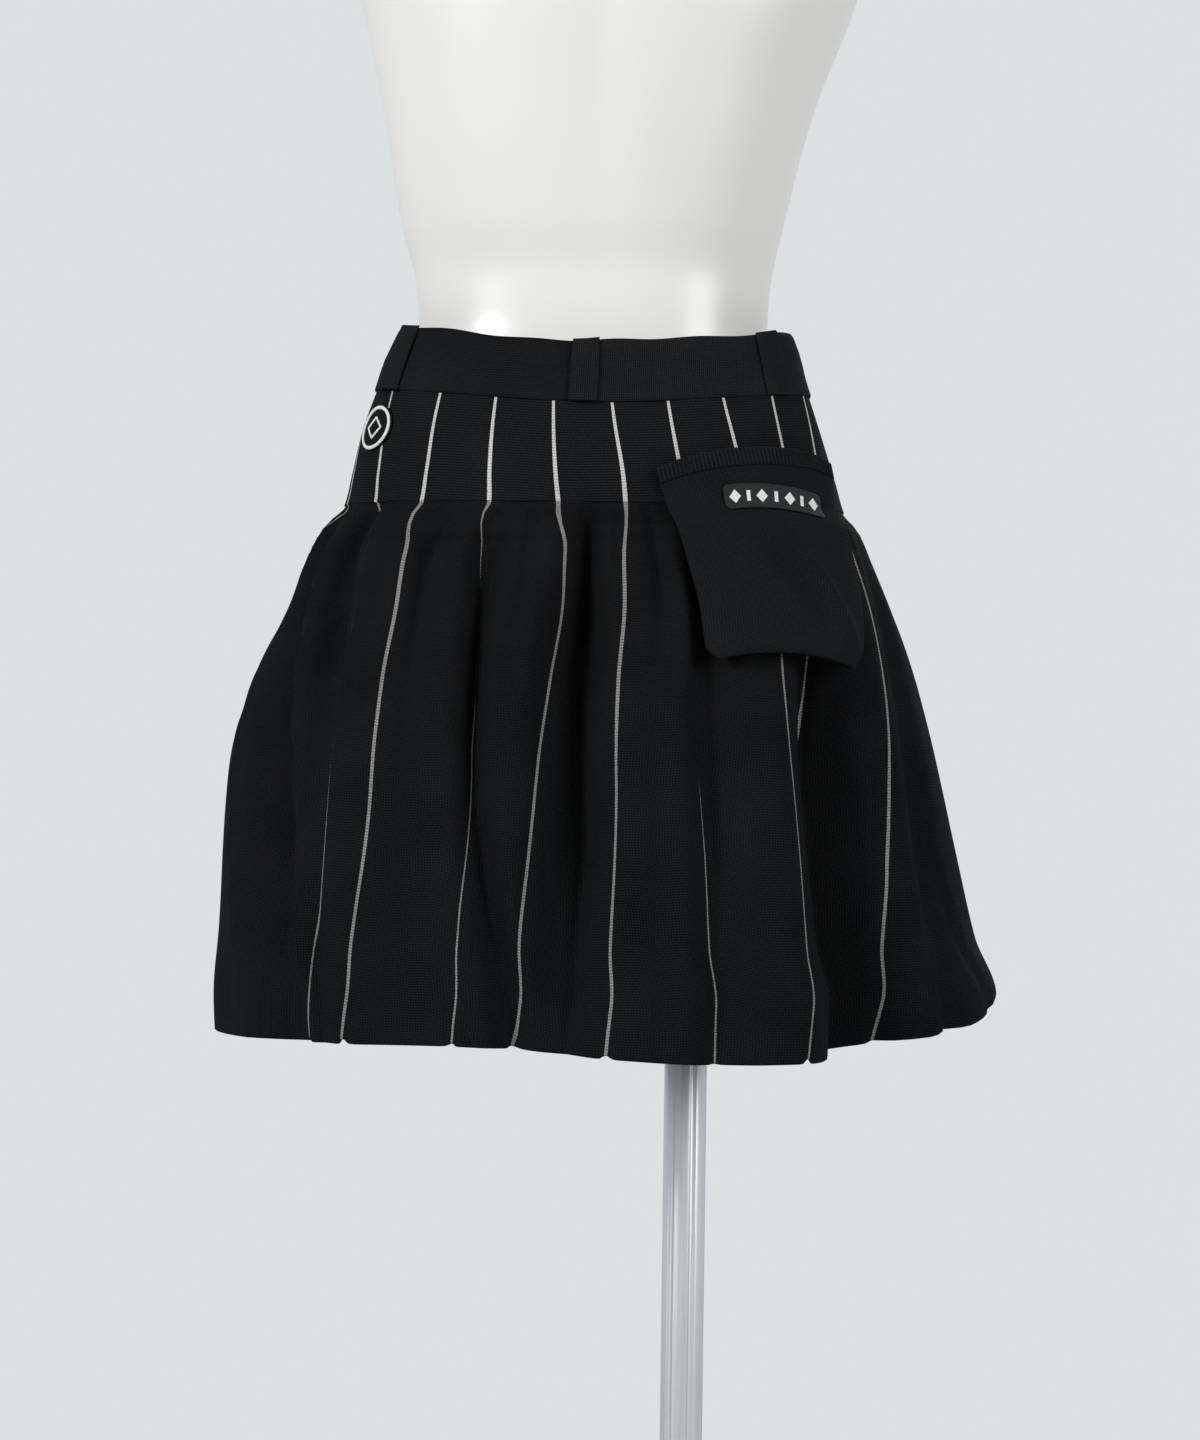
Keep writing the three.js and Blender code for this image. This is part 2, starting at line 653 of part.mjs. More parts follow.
const SOCKET_R = 30;
const SOCKET_TOP = HEM + FORM_FOOT - SEAM;
const SOCKET_FOOT = SOCKET_TOP - 6;
const GROOVES = 6;
const GROOVE_R = 10.8;

add('pole_socket', stack([
  disc(POLE_X, SOCKET_R - 2, SOCKET_FOOT, 32),
  disc(POLE_X, SOCKET_R, SOCKET_FOOT + 1.5, 32),
  disc(POLE_X, SOCKET_R, SOCKET_TOP, 32),
]), STEEL, 0.4, 0.9);

function poleRing(z) {
  const outline = [];
  const flute = [[0, POLE_R], [14, POLE_R], [28, POLE_R], [42, POLE_R], [46, GROOVE_R], [56, GROOVE_R]];
  for (let k = 0; k < GROOVES; k += 1) {
    for (const [turn, r] of flute) {
      const a = radians(360 * k / GROOVES + turn);
      outline.push([POLE_X + r * Math.cos(a), r * Math.sin(a), z]);
    }
  }
  return outline;
}

add('pole', stack([poleRing(BASE_THICK + SEAM), poleRing(SOCKET_FOOT - SEAM)]), ALUMINIUM, 0.35, 0.9);

add('stand_base', stack([
  disc(0, BASE_R - 2, 0, 64),
  disc(0, BASE_R, 1.5, 64),
  disc(0, BASE_R, BASE_THICK - 2, 64),
  disc(0, BASE_R - 3, BASE_THICK, 64),
]), STEEL, 0.4, 0.9);

export default group;
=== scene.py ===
"""Looks of a knit skirt worn on a limbless form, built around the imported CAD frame."""

import math

import bmesh
import bpy
import numpy as np
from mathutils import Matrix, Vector


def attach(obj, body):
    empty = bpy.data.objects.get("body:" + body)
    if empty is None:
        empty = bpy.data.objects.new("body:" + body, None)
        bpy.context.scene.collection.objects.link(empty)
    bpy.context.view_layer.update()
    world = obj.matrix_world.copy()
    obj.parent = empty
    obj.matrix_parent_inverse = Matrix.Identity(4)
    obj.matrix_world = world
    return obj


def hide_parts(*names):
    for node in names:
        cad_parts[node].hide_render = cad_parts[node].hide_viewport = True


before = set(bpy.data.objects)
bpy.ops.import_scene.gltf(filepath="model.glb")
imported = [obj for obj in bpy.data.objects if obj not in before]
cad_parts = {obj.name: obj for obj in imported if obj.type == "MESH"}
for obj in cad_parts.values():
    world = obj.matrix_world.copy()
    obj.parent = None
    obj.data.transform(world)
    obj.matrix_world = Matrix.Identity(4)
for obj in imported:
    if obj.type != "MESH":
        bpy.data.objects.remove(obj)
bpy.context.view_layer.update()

# Sizes, in metres.
HEM = 0.640
KNIT = 0.0018
GORE_SWELL = 0.0011
BAND_THICK = 0.003
BAND_PROUD = 0.0016
BAND_FOOT = 0.363
BAND_TOP = 0.398
YOKE_FOOT = 0.2983
POCKET_WALL = 0.0015
RIB_COUNT = 50
RIB_RELIEF = 0.0009
POLE_X = 0.051
POLE_R = 0.012
BASE_R = 0.170
BASE_THICK = 0.008
FORM_FOOT = 0.095
SEAM = 0.0003
SEWN_ON = SEAM + 0.00015
PANEL_TOP = 0.298
PANEL_EDGE = 0.2982
LOW_LEVEL = 0.136
GORE_WIDE = 0.062
NOTCH_WIDE = 0.0022
NOTCH_TALL = 0.02

# How gathers and puckers start below the yoke, spread on their way down and fade out.
GATHER_START = 0.022
PUCKER_START = 0.008
GATHER_SPREAD = 6
GATHER_DECAY = 1.6

# Fall of the waist at the centre back and its rise at the centre front.
BACK_FALL = 0.011
FRONT_RISE = 0.007

# Gentle waves of the cloth, and how fast creases may deepen below the yoke.
PANEL_WAVE = 0.0004
YOKE_WAVE = 0.0003
ROOM_SLOPE = 0.3
ROOM_GROWTH = 14

# Share of the waist's dip that the band's foot follows, and of a wall that its rounded edge adds.
BAND_DIP = 0.9
ROUND_OFF = 0.35

# Steps in radians for the direction of the surface and for lengths along it.
NORMAL_STEP = 0.006
ARC_STEP = 0.004

# Outline of the cloth round the body: height above the hem, half-width left and right,
# depth near and far, squareness of the ring.
CLOTH_SECTIONS = (
    (-0.005, 0.215, 0.226, 0.188, 0.184, 2.1),
    (0.03, 0.217, 0.225, 0.188, 0.184, 2.1),
    (0.06, 0.215, 0.213, 0.186, 0.182, 2.1),
    (0.11, 0.212, 0.202, 0.18, 0.176, 2.1),
    (0.155, 0.208, 0.192, 0.171, 0.167, 2.15),
    (0.2, 0.196, 0.179, 0.16, 0.155, 2.2),
    (0.24, 0.178, 0.165, 0.149, 0.144, 2.25),
    (0.27, 0.168, 0.153, 0.136, 0.132, 2.3),
    (0.288, 0.157, 0.145, 0.121, 0.117, 2.4),
    (0.298, 0.146, 0.136, 0.109, 0.105, 2.5),
    (0.314, 0.142, 0.131, 0.106, 0.102, 2.5),
    (0.34, 0.136, 0.123, 0.099, 0.096, 2.6),
    (0.364, 0.128, 0.115, 0.092, 0.089, 2.7),
    (0.4, 0.114, 0.104, 0.084, 0.082, 2.7),
)

# The same for the body form.
FORM_SECTIONS = (
    (0.095, 0.104, 0.098, 0.08, 0.078, 2.3),
    (0.101, 0.113, 0.107, 0.087, 0.085, 2.3),
    (0.13, 0.13, 0.123, 0.099, 0.096, 2.4),
    (0.18, 0.138, 0.129, 0.104, 0.1, 2.4),
    (0.25, 0.142, 0.132, 0.106, 0.102, 2.5),
    (0.298, 0.1436, 0.1336, 0.1066, 0.1026, 2.5),
    (0.314, 0.1396, 0.1286, 0.1036, 0.0996, 2.5),
    (0.34, 0.1336, 0.1206, 0.0966, 0.0936, 2.6),
    (0.352, 0.127, 0.113, 0.091, 0.0885, 2.6),
    (0.375, 0.112, 0.098, 0.081, 0.08, 2.5),
    (0.4, 0.105, 0.0915, 0.076, 0.076, 2.4),
    (0.425, 0.107, 0.093, 0.076, 0.078, 2.35),
    (0.455, 0.115, 0.099, 0.082, 0.086, 2.3),
    (0.523, 0.127, 0.116, 0.091, 0.103, 2.3),
    (0.588, 0.141, 0.14, 0.096, 0.122, 2.35),
    (0.64, 0.154, 0.153, 0.096, 0.124, 2.45),
    (0.69, 0.166, 0.165, 0.091, 0.107, 2.5),
    (0.725, 0.174, 0.173, 0.08, 0.084, 2.4),
    (0.748, 0.17, 0.169, 0.069, 0.07, 2.3),
    (0.764, 0.142, 0.141, 0.062, 0.062, 2.2),
    (0.778, 0.104, 0.104, 0.058, 0.058, 2.1),
    (0.792, 0.071, 0.071, 0.056, 0.056, 2.05),
    (0.815, 0.06, 0.06, 0.054, 0.054, 2),
    (0.856, 0.056, 0.056, 0.052, 0.052, 2),
    (0.862, 0.052, 0.052, 0.048, 0.048, 2),
)

# Lift of the hem at an angle round the body: 0 is the near side, 90 the right.
HEM_LIFT = (
    (-180, 0.006), (-120, 0.007), (-85, 0.005), (-50, 0.006), (-25, 0.008),
    (0, 0.003), (20, 0.0), (40, 0.001), (54, 0.01), (70, 0.018),
    (84, 0.029), (96, 0.026), (112, 0.014), (135, 0.005), (180, 0.006),
)

# Valleys between folds: angle at the hem, low and at the top, depth at five heights, half-width
# in degrees at the hem and at the top, share of the width to the left of the line.
FOLD_HEIGHTS = (0.0, LOW_LEVEL, 0.230, 0.285, PANEL_TOP)
FOLDS = (
    ((-86, -86, -88), (0.007, 0.007, 0.005, 0.0, 0.0), (6, 6), 0.5),  # left edge
    ((-54, -59, -73), (0.014, 0.019, 0.018, 0.007, 0.0), (9, 7), 0.66),  # left broad
    ((-48, -50, -59), (0.007, 0.008, 0.009, 0.008, 0.0), (4.5, 5.5), 0.4),  # second stripe
    ((-33, -33, -40), (0.0, 0.002, 0.008, 0.009, 0.0), (7, 5.5), 0.5),  # third gather
    ((-15, -19.5, -24.5), (0.011, 0.015, 0.014, 0.009, 0.0), (5, 5), 0.5),  # fourth stripe
    ((-7, 0, 0.5), (0.014, 0.034, 0.03, 0.008, 0.0), (13, 8), 0.72),  # centre
    ((12, 14, 18), (0.0, 0.0, 0.003, 0.006, 0.0), (6, 5.5), 0.5),  # sixth gather
    ((19, 23, 26.5), (0.007, 0.013, 0.014, 0.008, 0.0), (8, 7), 0.5),  # seventh stripe
    ((46, 47, 53), (0.048, 0.04, 0.02, 0.007, 0.0), (14, 12), 0.5),  # under pocket
    ((62, 65, 76), (0.007, 0.007, 0.004, 0.001, 0.0), (6, 6), 0.5),  # right flank
    ((106, 103, 103), (0.026, 0.018, 0.012, 0.005, 0.0), (12, 9), 0.6),  # far a
    ((129, 131, 133), (0.012, 0.015, 0.016, 0.007, 0.0), (10, 8), 0.4),  # far b
    ((151, 149, 150), (0.032, 0.024, 0.018, 0.007, 0.0), (12, 9), 0.5),  # far c
    ((173, 170, 171), (0.01, 0.014, 0.016, 0.007, 0.0), (9, 8), 0.5),  # far d
    ((-167, -168, -168), (0.021, 0.017, 0.015, 0.006, 0.0), (10, 8), 0.4),  # far e
    ((-143, -146, -147), (0.033, 0.026, 0.019, 0.008, 0.0), (13, 9), 0.6),  # far f
    ((-121, -120, -120), (0.014, 0.016, 0.014, 0.006, 0.0), (9, 8), 0.5),  # far g
    ((-102, -102, -102), (0.022, 0.017, 0.012, 0.004, 0.0), (9, 8), 0.5),  # far h
)

# Stripes between the gores: angle at the hem, low, high, at the yoke line and at the band.
STRIPE_HEIGHTS = (0.0, LOW_LEVEL, 0.271, PANEL_TOP, 0.364)
STRIPES = (
    (-95, -94, -85, -76.5, -79), (-50.6, -47.6, -52, -59.5, -64),
    (-43.5, -38, -41.5, -46, -46), (-24.5, -20.5, -24.5, -28.5, -30),
    (-15.5, -9, -5, -10, -12.5), (0, 5, 8, 9, 6.5),
    (18, 21, 23.5, 25, 24), (33, 38, 39, 41.5, 40),
    (40, 46, 53, 54, 55), (51, 57.6, 67.0, 66.5, 70.5),
    (90, 87, 86, 86, 86), (102, 101, 102, 102, 102),
    (107, 108, 117, 117, 118), (123, 124, 132, 133, 134),
    (140, 140, 149, 150, 150), (158, 156, 165, 167, 167),
    (175, 173, 182, 184, 184), (192, 189, 200, 200, 200),
    (208, 206, 216, 217, 216), (225, 222, 230, 233, 231),
    (238, 236, 245, 249, 247), (251, 251, 259, 265, 262),
)

# Width of each stripe in the lower panel, in millimetres, at four heights, in the order of STRIPES.
STRIPE_WIDTH_HEIGHTS = (0.0, LOW_LEVEL, 0.205, 0.285)
STRIPE_WIDTHS = (
    (1.2, 1.1, 1.3, 1.7), (0.9, 0.7, 0.6, 0.8), (2.0, 2.0, 2.0, 2.3), (1.1, 0.8, 0.8, 1.0),
    (1.8, 1.8, 1.9, 2.2), (1.9, 2.0, 1.9, 2.0), (1.2, 0.7, 0.7, 0.8), (1.3, 1.6, 1.7, 2.0),
    (1.0, 0.9, 1.0, 1.8), (1.8, 2.0, 2.1, 2.3), (1.4, 1.5, 1.6, 1.9), (1.6, 1.5, 1.3, 1.9),
    (1.0, 0.9, 0.6, 1.6), (1.9, 2.0, 1.9, 2.2), (1.2, 1.2, 1.0, 1.7), (1.7, 1.8, 1.9, 2.0),
    (1.0, 1.1, 0.6, 1.6), (1.9, 2.0, 2.0, 2.2), (1.4, 1.5, 1.2, 1.8), (1.0, 1.0, 0.6, 1.5),
    (1.8, 1.9, 1.9, 2.2), (1.2, 1.2, 1.1, 1.8),
)
# Where a gather hides a stripe it is drawn in to a hair: its row and the heights it lies between.
HIDDEN_STRIPES = ((1, 0.200, 0.340), (3, 0.150, 0.290), (6, 0.110, 0.340))
HIDDEN_FADE = 0.04
HAIR = 0.000012
# How far the hem is nicked up where each stripe ends.
HEM_NOTCH = (0.0012, 0.0020, 0.0024, 0.0014, 0.0012, 0.0018, 0.0006, 0.0024, 0.0010, 0.0014, 0.0020,
             0.0010, 0.0022, 0.0012, 0.0018, 0.0008, 0.0022, 0.0014, 0.0010, 0.0020, 0.0012, 0.0016)
# Widths of every stripe at the yoke's foot and at the band, and the heights they change between.
STRIPE_YOKE = 0.0025
STRIPE_BAND = 0.0015
YOKE_STRIPE_HEIGHTS = (0.299, 0.361)
STRIPE_MEETS = (0.290, 0.299)

# Gathers below the yoke line: angle, depth, half-width in degrees, how far down each runs.
GATHERS = (
    (-82, 0.004, 3.8, 0.06), (-67, 0.005, 3.6, 0.07), (-52, 0.0035, 3.4, 0.045), (-46, 0.0035, 3.2, 0.05),
    (-32, 0.005, 3.4, 0.06), (-18, 0.005, 3.2, 0.075), (-11, 0.004, 3.2, 0.05), (7, 0.0035, 3.2, 0.045),
    (12, 0.003, 3, 0.04), (22, 0.003, 3.2, 0.04), (35, 0.0045, 3.6, 0.06), (45, 0.0035, 3.4, 0.045),
    (82, 0.004, 3.8, 0.06), (92, 0.0045, 3.8, 0.06), (110, 0.004, 3.4, 0.05), (121, 0.0055, 3.4, 0.085),
    (141, 0.0045, 3.4, 0.06), (158, 0.005, 3.4, 0.055), (179, 0.0045, 3.4, 0.075), (199, 0.005, 3.4, 0.065),
    (221, 0.0045, 3.4, 0.06), (235, 0.005, 3.6, 0.055), (251, 0.0045, 3.6, 0.07), (268, 0.004, 3.8, 0.05),
)

# Small puckers between the gathers, close under the yoke line.
PUCKERS = (
    (-70, 0.0012, 1.8, 0.020), (-59, 0.0016, 1.6, 0.026), (-48, 0.0014, 1.6, 0.022),
    (-38, 0.0018, 1.6, 0.034), (-30, 0.0012, 1.5, 0.020), (-24, 0.0012, 1.6, 0.020),
    (-9, 0.0010, 1.5, 0.018), (-3, 0.0012, 1.5, 0.022), (7, 0.0014, 1.6, 0.026),
    (17, 0.0018, 1.6, 0.022), (26, 0.0012, 1.6, 0.020), (38, 0.0014, 1.6, 0.026),
    (52, 0.0012, 1.7, 0.022), (69, 0.0016, 1.8, 0.030), (84, 0.0014, 1.8, 0.024),
    (101, 0.0016, 1.8, 0.028), (116, 0.0012, 1.6, 0.020), (130, 0.0018, 1.6, 0.034),
    (149, 0.0014, 1.6, 0.024), (165, 0.0016, 1.6, 0.030), (173, 0.0012, 1.5, 0.020),
    (189, 0.0018, 1.6, 0.032), (210, 0.0014, 1.6, 0.024), (228, 0.0016, 1.7, 0.028),
    (243, 0.0012, 1.7, 0.022), (260, 0.0018, 1.8, 0.032), (277, 0.0014, 1.8, 0.024),
)

# Soft ridges left by wear and pressing: angle at low and at high, the two heights, depth, half-width.
CREASES = (
    (-66, -79, 0.02, 0.22, -0.0035, 3.0), (-52, -50, 0.00, 0.16, -0.0030, 3.0),
    (-32, -28, 0.05, 0.24, -0.0022, 4.0), (-11, -4, 0.00, 0.13, 0.0020, 3.5),
    (11, 14, 0.03, 0.20, 0.0022, 4.0), (27, 30, 0.00, 0.15, 0.0018, 3.5),
    (76, 66, 0.015, 0.115, 0.0042, 2.6), (84, 86, 0.04, 0.20, 0.0024, 4.0),
    (115, 117, 0.02, 0.20, -0.0030, 4.0), (137, 141, 0.00, 0.15, 0.0026, 3.5),
    (163, 159, 0.04, 0.22, -0.0026, 3.5), (184, 182, 0.00, 0.14, 0.0024, 3.5),
    (203, 200, 0.03, 0.20, -0.0028, 3.5), (229, 226, 0.00, 0.16, 0.0028, 3.5),
    (248, 250, 0.03, 0.21, -0.0026, 3.5), (272, 270, 0.00, 0.18, 0.0030, 4.0),
)

# Sharp creases where one gore laps over the next: heights, the angle and the depth in
# millimetres at each, and the half-width in degrees to the left and the right of the line.
LAPS = (
    ((0, 0.136, 0.178, 0.200, 0.225, 0.262, 0.290), (-52.5, -57.2, -60.5, -63.2, -66.8, -72.4, -75.5),
     (3, 9, 12, 12, 12, 9, 4), (4.2, 2.4)),
    ((0.178, 0.200, 0.225, 0.245, 0.262, 0.290), (-56, -58, -60.6, -62.4, -64, -67),
     (0, -2, -4, -5, -5, -1), (5, 5)),
    ((0.160, 0.200, 0.225, 0.242, 0.263, 0.290), (-46.5, -50, -53, -55.5, -56.5, -58.5),
     (0, 4, 9, 12, 12, 6), (3.2, 1.6)),
    ((0.190, 0.243, 0.271, 0.285, 0.297), (-33, -36, -36.6, -35.6, -34.2), (0, 4, 8, 9, 8), (2.2, 2)),
    ((0.120, 0.200, 0.255, 0.285, 0.297), (-20, -20.8, -21.2, -20.8, -20.2), (0, 3, 6, 8, 7), (2.4, 2.2)),
    ((0.180, 0.230, 0.262, 0.285, 0.297), (-13, -13.5, -13.8, -14.4, -14.8), (0, 2, 4, 6, 5), (2.6, 2.4)),
    ((0.136, 0.220, 0.260, 0.285, 0.297), (1.5, 1.4, 0.8, -0.4, -1), (0, 2, 4, 8, 9), (3.2, 2.4)),
    ((0.200, 0.240, 0.265, 0.285, 0.297), (14, 14.8, 15.2, 15, 14.6), (0, 2, 4, 6, 5), (2.2, 2.2)),
    ((0.010, 0.075, 0.132, 0.180, 0.230), (-84.5, -83.5, -83.5, -84, -84.5), (3, 4, 4, 4, 0), (1.6, 1.8)),
    ((0, 0.020, 0.058, 0.096, 0.125), (64.5, 62.5, 58.7, 56.6, 55.5), (5, 6, 4, 1, 0), (1.8, 3.4)),
    ((0.150, 0.200, 0.245, 0.280, 0.296), (101, 100, 99, 98, 97), (0, 3, 6, 6, 1), (2.8, 2)),
    ((0.180, 0.220, 0.260, 0.285, 0.297), (122, 123, 124, 125, 126), (0, 2, 4, 5, 1), (2, 2.4)),
    ((0.120, 0.190, 0.250, 0.282, 0.296), (151, 152, 154, 156, 157), (0, 3, 6, 6, 1), (2.4, 2)),
    ((0.170, 0.220, 0.260, 0.285, 0.297), (176, 177, 178, 179, 180), (0, 2, 5, 6, 1), (2, 2.4)),
    ((0.150, 0.210, 0.255, 0.285, 0.297), (203, 202, 201, 200, 199), (0, 3, 5, 5, 1), (2.6, 2)),
    ((0, 0.070, 0.140, 0.210, 0.270), (223, 224, 226, 229, 233), (4, 5, 6, 6, 1), (2.6, 2)),
    ((0.180, 0.225, 0.260, 0.285, 0.297), (249, 250, 252, 253, 254), (0, 2, 5, 5, 1), (2, 2.4)),
)

# Pocket rows from its mouth down: share of its length, heights at the left edge, middle and
# right edge, angles of the two edges, distance of its back from the cloth, depth of its hollow.
POCKET_ROWS = (
    (0.0, 0.3086, 0.3206, 0.3156, 18.7, 71.3, 0.0007, 0.0010),
    (0.25, 0.280, 0.292, 0.288, 21, 65.2, 0.0013, 0.0024),
    (0.6, 0.249, 0.257, 0.250, 22, 60, 0.0017, 0.0050),
    (0.93, 0.220, 0.2225, 0.2155, 22.8, 55, 0.0017, 0.0075),
    (1.0, 0.213, 0.217, 0.209, 25, 52.5, 0.0017, 0.0070),
)
RIB_ROWS = (
    (0.0, 0.317, 0.330, 0.324, 18, 72, 0.0007, 0.0013),
    (1.0, 0.3084, 0.3204, 0.3154, 18.7, 71.3, 0.0007, 0.0010),
)
LABEL = dict(start=0.30, end=0.84, top=0.084, foot=0.20, droop=0.045)

# Belt loops: angle and width.
LOOPS = ((-65, 0.022), (-3, 0.015), (57, 0.018), (128, 0.016), (-136, 0.016))
LOOP_THICK = 0.0016

PATCH = dict(at=-66, height=0.340, half_angle=7.0, half_height=0.0125)


# Curves and surfaces.
def curve(knots, values, at):
    """Smooth curve through a short table, with no overshoot between its rows."""
    k, v = np.asarray(knots, float), np.asarray(values, float)
    slope = np.diff(v) / np.diff(k)
    lean = np.empty_like(v)
    lean[0], lean[-1] = slope[0], slope[-1]
    for i in range(1, len(v) - 1):
        before, after = slope[i - 1], slope[i]
        lean[i] = 0 if before * after <= 0 else 2 * before * after / (before + after)
    x = np.clip(np.asarray(at, float), k[0], k[-1])
    i = np.clip(np.searchsorted(k, x, side="right") - 1, 0, len(k) - 2)
    w = k[i + 1] - k[i]
    s = (x - k[i]) / w
    return ((2 * s**3 - 3 * s**2 + 1) * v[i] + (s**3 - 2 * s**2 + s) * w * lean[i]
            + (3 * s**2 - 2 * s**3) * v[i + 1] + (s**3 - s**2) * w * lean[i + 1])


def columns(rows, key):
    knots = [row[0] for row in rows]
    return [curve(knots, [row[i] for row in rows], key) for i in range(1, len(rows[0]))]


def wrap(degrees):
    return (degrees + 180.0) % 360.0 - 180.0


def ring(sections, phi, height):
    """Point on the ring at that height and the outward direction there."""
    left, right, near, far, square = columns(sections, height)
    half = (left + right) / 2
    depth = np.where(np.cos(phi) > 0, near, far)
    s, c = np.abs(np.sin(phi)), np.abs(np.cos(phi))
    r = ((s / half) ** square + (c / depth) ** square) ** (-1 / square)
    x, y = r * np.sin(phi), -r * np.cos(phi)
    gx = np.sign(x) * np.abs(x) ** (square - 1) / half**square
    gy = np.sign(y) * np.abs(y) ** (square - 1) / depth**square
    g = np.hypot(gx, gy) + 1e-12
    return x + (right - left) / 2, y, gx / g, gy / g


def outline_point(phi, height, out):
    x, y, nx, ny = ring(CLOTH_SECTIONS, phi, height)
    return np.stack([x + nx * out, y + ny * out, HEM + height + 0 * x], -1)


def trough(t):
    return np.where(np.abs(t) < 1, (1 + np.cos(np.pi * np.clip(t, -1, 1))) / 2, 0.0)


def crease(t):
    """Shape across a valley: creased at its line, round at both sides."""
    t = np.clip(np.abs(t), 0, 1)
    return 0.2 * (1 + np.cos(np.pi * t)) + 0.6 * (1 - np.sin(np.pi * t / 2))


def fold_depth(phi, height):
    degrees = np.degrees(phi)
    total = np.zeros_like(degrees)
    for at, deep, wide, left in FOLDS:
        away = wrap(degrees - curve((0, LOW_LEVEL, PANEL_TOP), at, height))
        side = 2 * curve((0, PANEL_TOP), wide, height) * np.where(away < 0, left, 1 - left)
        total += curve(FOLD_HEIGHTS, deep, height) * crease(away / side)
    below = np.maximum(YOKE_FOOT - height, 0)
    for at, deep, wide, length in GATHERS:
        fade = (below / GATHER_START).clip(0, 1) ** 1.5 * np.exp(-GATHER_DECAY * (below / length) ** 2)
        total += deep * fade * crease(wrap(degrees - at) / (wide * (1 + GATHER_SPREAD * below)))
    return total


def fine_depth(phi, height):
    """Puckers at the yoke and soft creases, as a depth below the folded surface."""
    degrees = np.degrees(phi)
    total = np.zeros_like(degrees)
    below = YOKE_FOOT - height
    room = np.maximum(below, 0)
    for at, deep, wide, length in PUCKERS:
        fade = (below / PUCKER_START).clip(0, 1) * np.exp(-GATHER_DECAY * (room / length) ** 2)
        total += deep * fade * crease(wrap(degrees - at) / (wide * (1 + GATHER_SPREAD * room)))
    for heights, angles, depths, (left, right) in LAPS:
        away = wrap(degrees - curve(heights, angles, height))
        shape = crease(away / np.where(away < 0, left, right))
        total += 0.001 * curve(heights, depths, height) * shape
    for low, high, foot, top, deep, wide in CREASES:
        share = np.clip((height - foot) / (top - foot), -0.5, 1.5)
        fade = trough(2 * (share - 0.5) / 1.5)
        total += deep * fade * trough(wrap(degrees - low - (high - low) * share) / wide)
    # The body form is close behind the cloth near the yoke, so creases stay shallow there.
    total = np.minimum(total, ROOM_SLOPE * room + ROOM_GROWTH * room**2)
    wave = (np.sin(3.1 * phi + 19 * height) + np.sin(7.3 * phi - 31 * height + 1.0)
            + np.sin(11.7 * phi + 47 * height + 2.2))
    return total + PANEL_WAVE * wave * np.clip(below / 0.03, 0, 1)


def hem_lift(phi):
    return curve(*zip(*HEM_LIFT), wrap(np.degrees(phi)))


def waist_lift(phi):
    c = np.cos(phi)
    return np.where(c > 0, -BACK_FALL, FRONT_RISE) * c * c


def panel_xy(phi, height):
    x, y, nx, ny = ring(CLOTH_SECTIONS, phi, height)
    deep = fold_depth(phi, height) + fine_depth(phi, height)
    return x - nx * deep, y - ny * deep


def panel_point(phi, height, inward):
    x, y = panel_xy(phi, height)
    ax, ay = panel_xy(phi - NORMAL_STEP, height)
    bx, by = panel_xy(phi + NORMAL_STEP, height)
    length = np.hypot(bx - ax, by - ay)
    nx, ny = (by - ay) / length, -(bx - ax) / length
    return np.stack([x - nx * inward, y - ny * inward, HEM + height + 0 * x], -1)


# Meshes.
def mesh_object(name, points, faces, uvs=None, slots=None, smooth=True):
    mesh = bpy.data.meshes.new(name)
    mesh.from_pydata([tuple(p) for p in points], [], [tuple(f) for f in faces])
    if uvs is not None:
        layer = mesh.uv_layers.new(name="cloth")
        layer.data.foreach_set("uv", np.asarray(uvs, float).reshape(-1))
    if slots is not None:
        mesh.polygons.foreach_set("material_index", np.asarray(slots, np.int32))
    mesh.polygons.foreach_set("use_smooth", [smooth] * len(mesh.polygons))
    mesh.update()
    piece = bpy.data.objects.new(name, mesh)
    bpy.context.scene.collection.objects.link(piece)
    return piece


def texture_grid(grid, closed_down):
    """Distances along the grid's rings and columns, one more of each where it closes."""
    grid = np.concatenate([grid, grid[:, :1]], 1)
    if closed_down:
        grid = np.concatenate([grid, grid[:1]], 0)
    across, down = (np.linalg.norm(np.diff(grid, axis=axis), axis=2).cumsum(axis) for axis in (1, 0))
    return np.pad(across, ((0, 0), (1, 0))), np.pad(down, ((1, 0), (0, 0)))


def cloth(name, grid, closed_down=True, slots=0):
    """A mesh of quads over closed rings of points, with texture coordinates in metres."""
    across, down = texture_grid(grid, closed_down)
    rows, n = grid.shape[:2]
    rr, ii = np.meshgrid(np.arange(rows if closed_down else rows - 1), np.arange(n), indexing="ij")
    r2, i2 = (rr + 1) % rows, (ii + 1) % n
    faces = np.stack([rr * n + ii, rr * n + i2, r2 * n + i2, r2 * n + ii], -1).reshape(-1, 4)
    uv = np.stack([
        np.stack([across[rr, ii], down[rr, ii]], -1),
        np.stack([across[rr, ii + 1], down[rr, ii + 1]], -1),
        np.stack([across[rr + 1, ii + 1], down[rr + 1, ii + 1]], -1),
        np.stack([across[rr + 1, ii], down[rr + 1, ii]], -1),
    ], -2).reshape(-1, 4, 2)
    points = grid.reshape(-1, 3)
    if closed_down:
        a, b, c, d = (points[faces[:, k]] for k in range(4))
        volume = (np.einsum("ij,ij->i", a, np.cross(b, c)) + np.einsum("ij,ij->i", a, np.cross(c, d))).sum()
        if volume < 0:
            faces, uv = faces[:, ::-1], uv[:, ::-1]
    return mesh_object(name, points, faces, uv.reshape(-1, 2), np.broadcast_to(slots, rr.shape).reshape(-1))


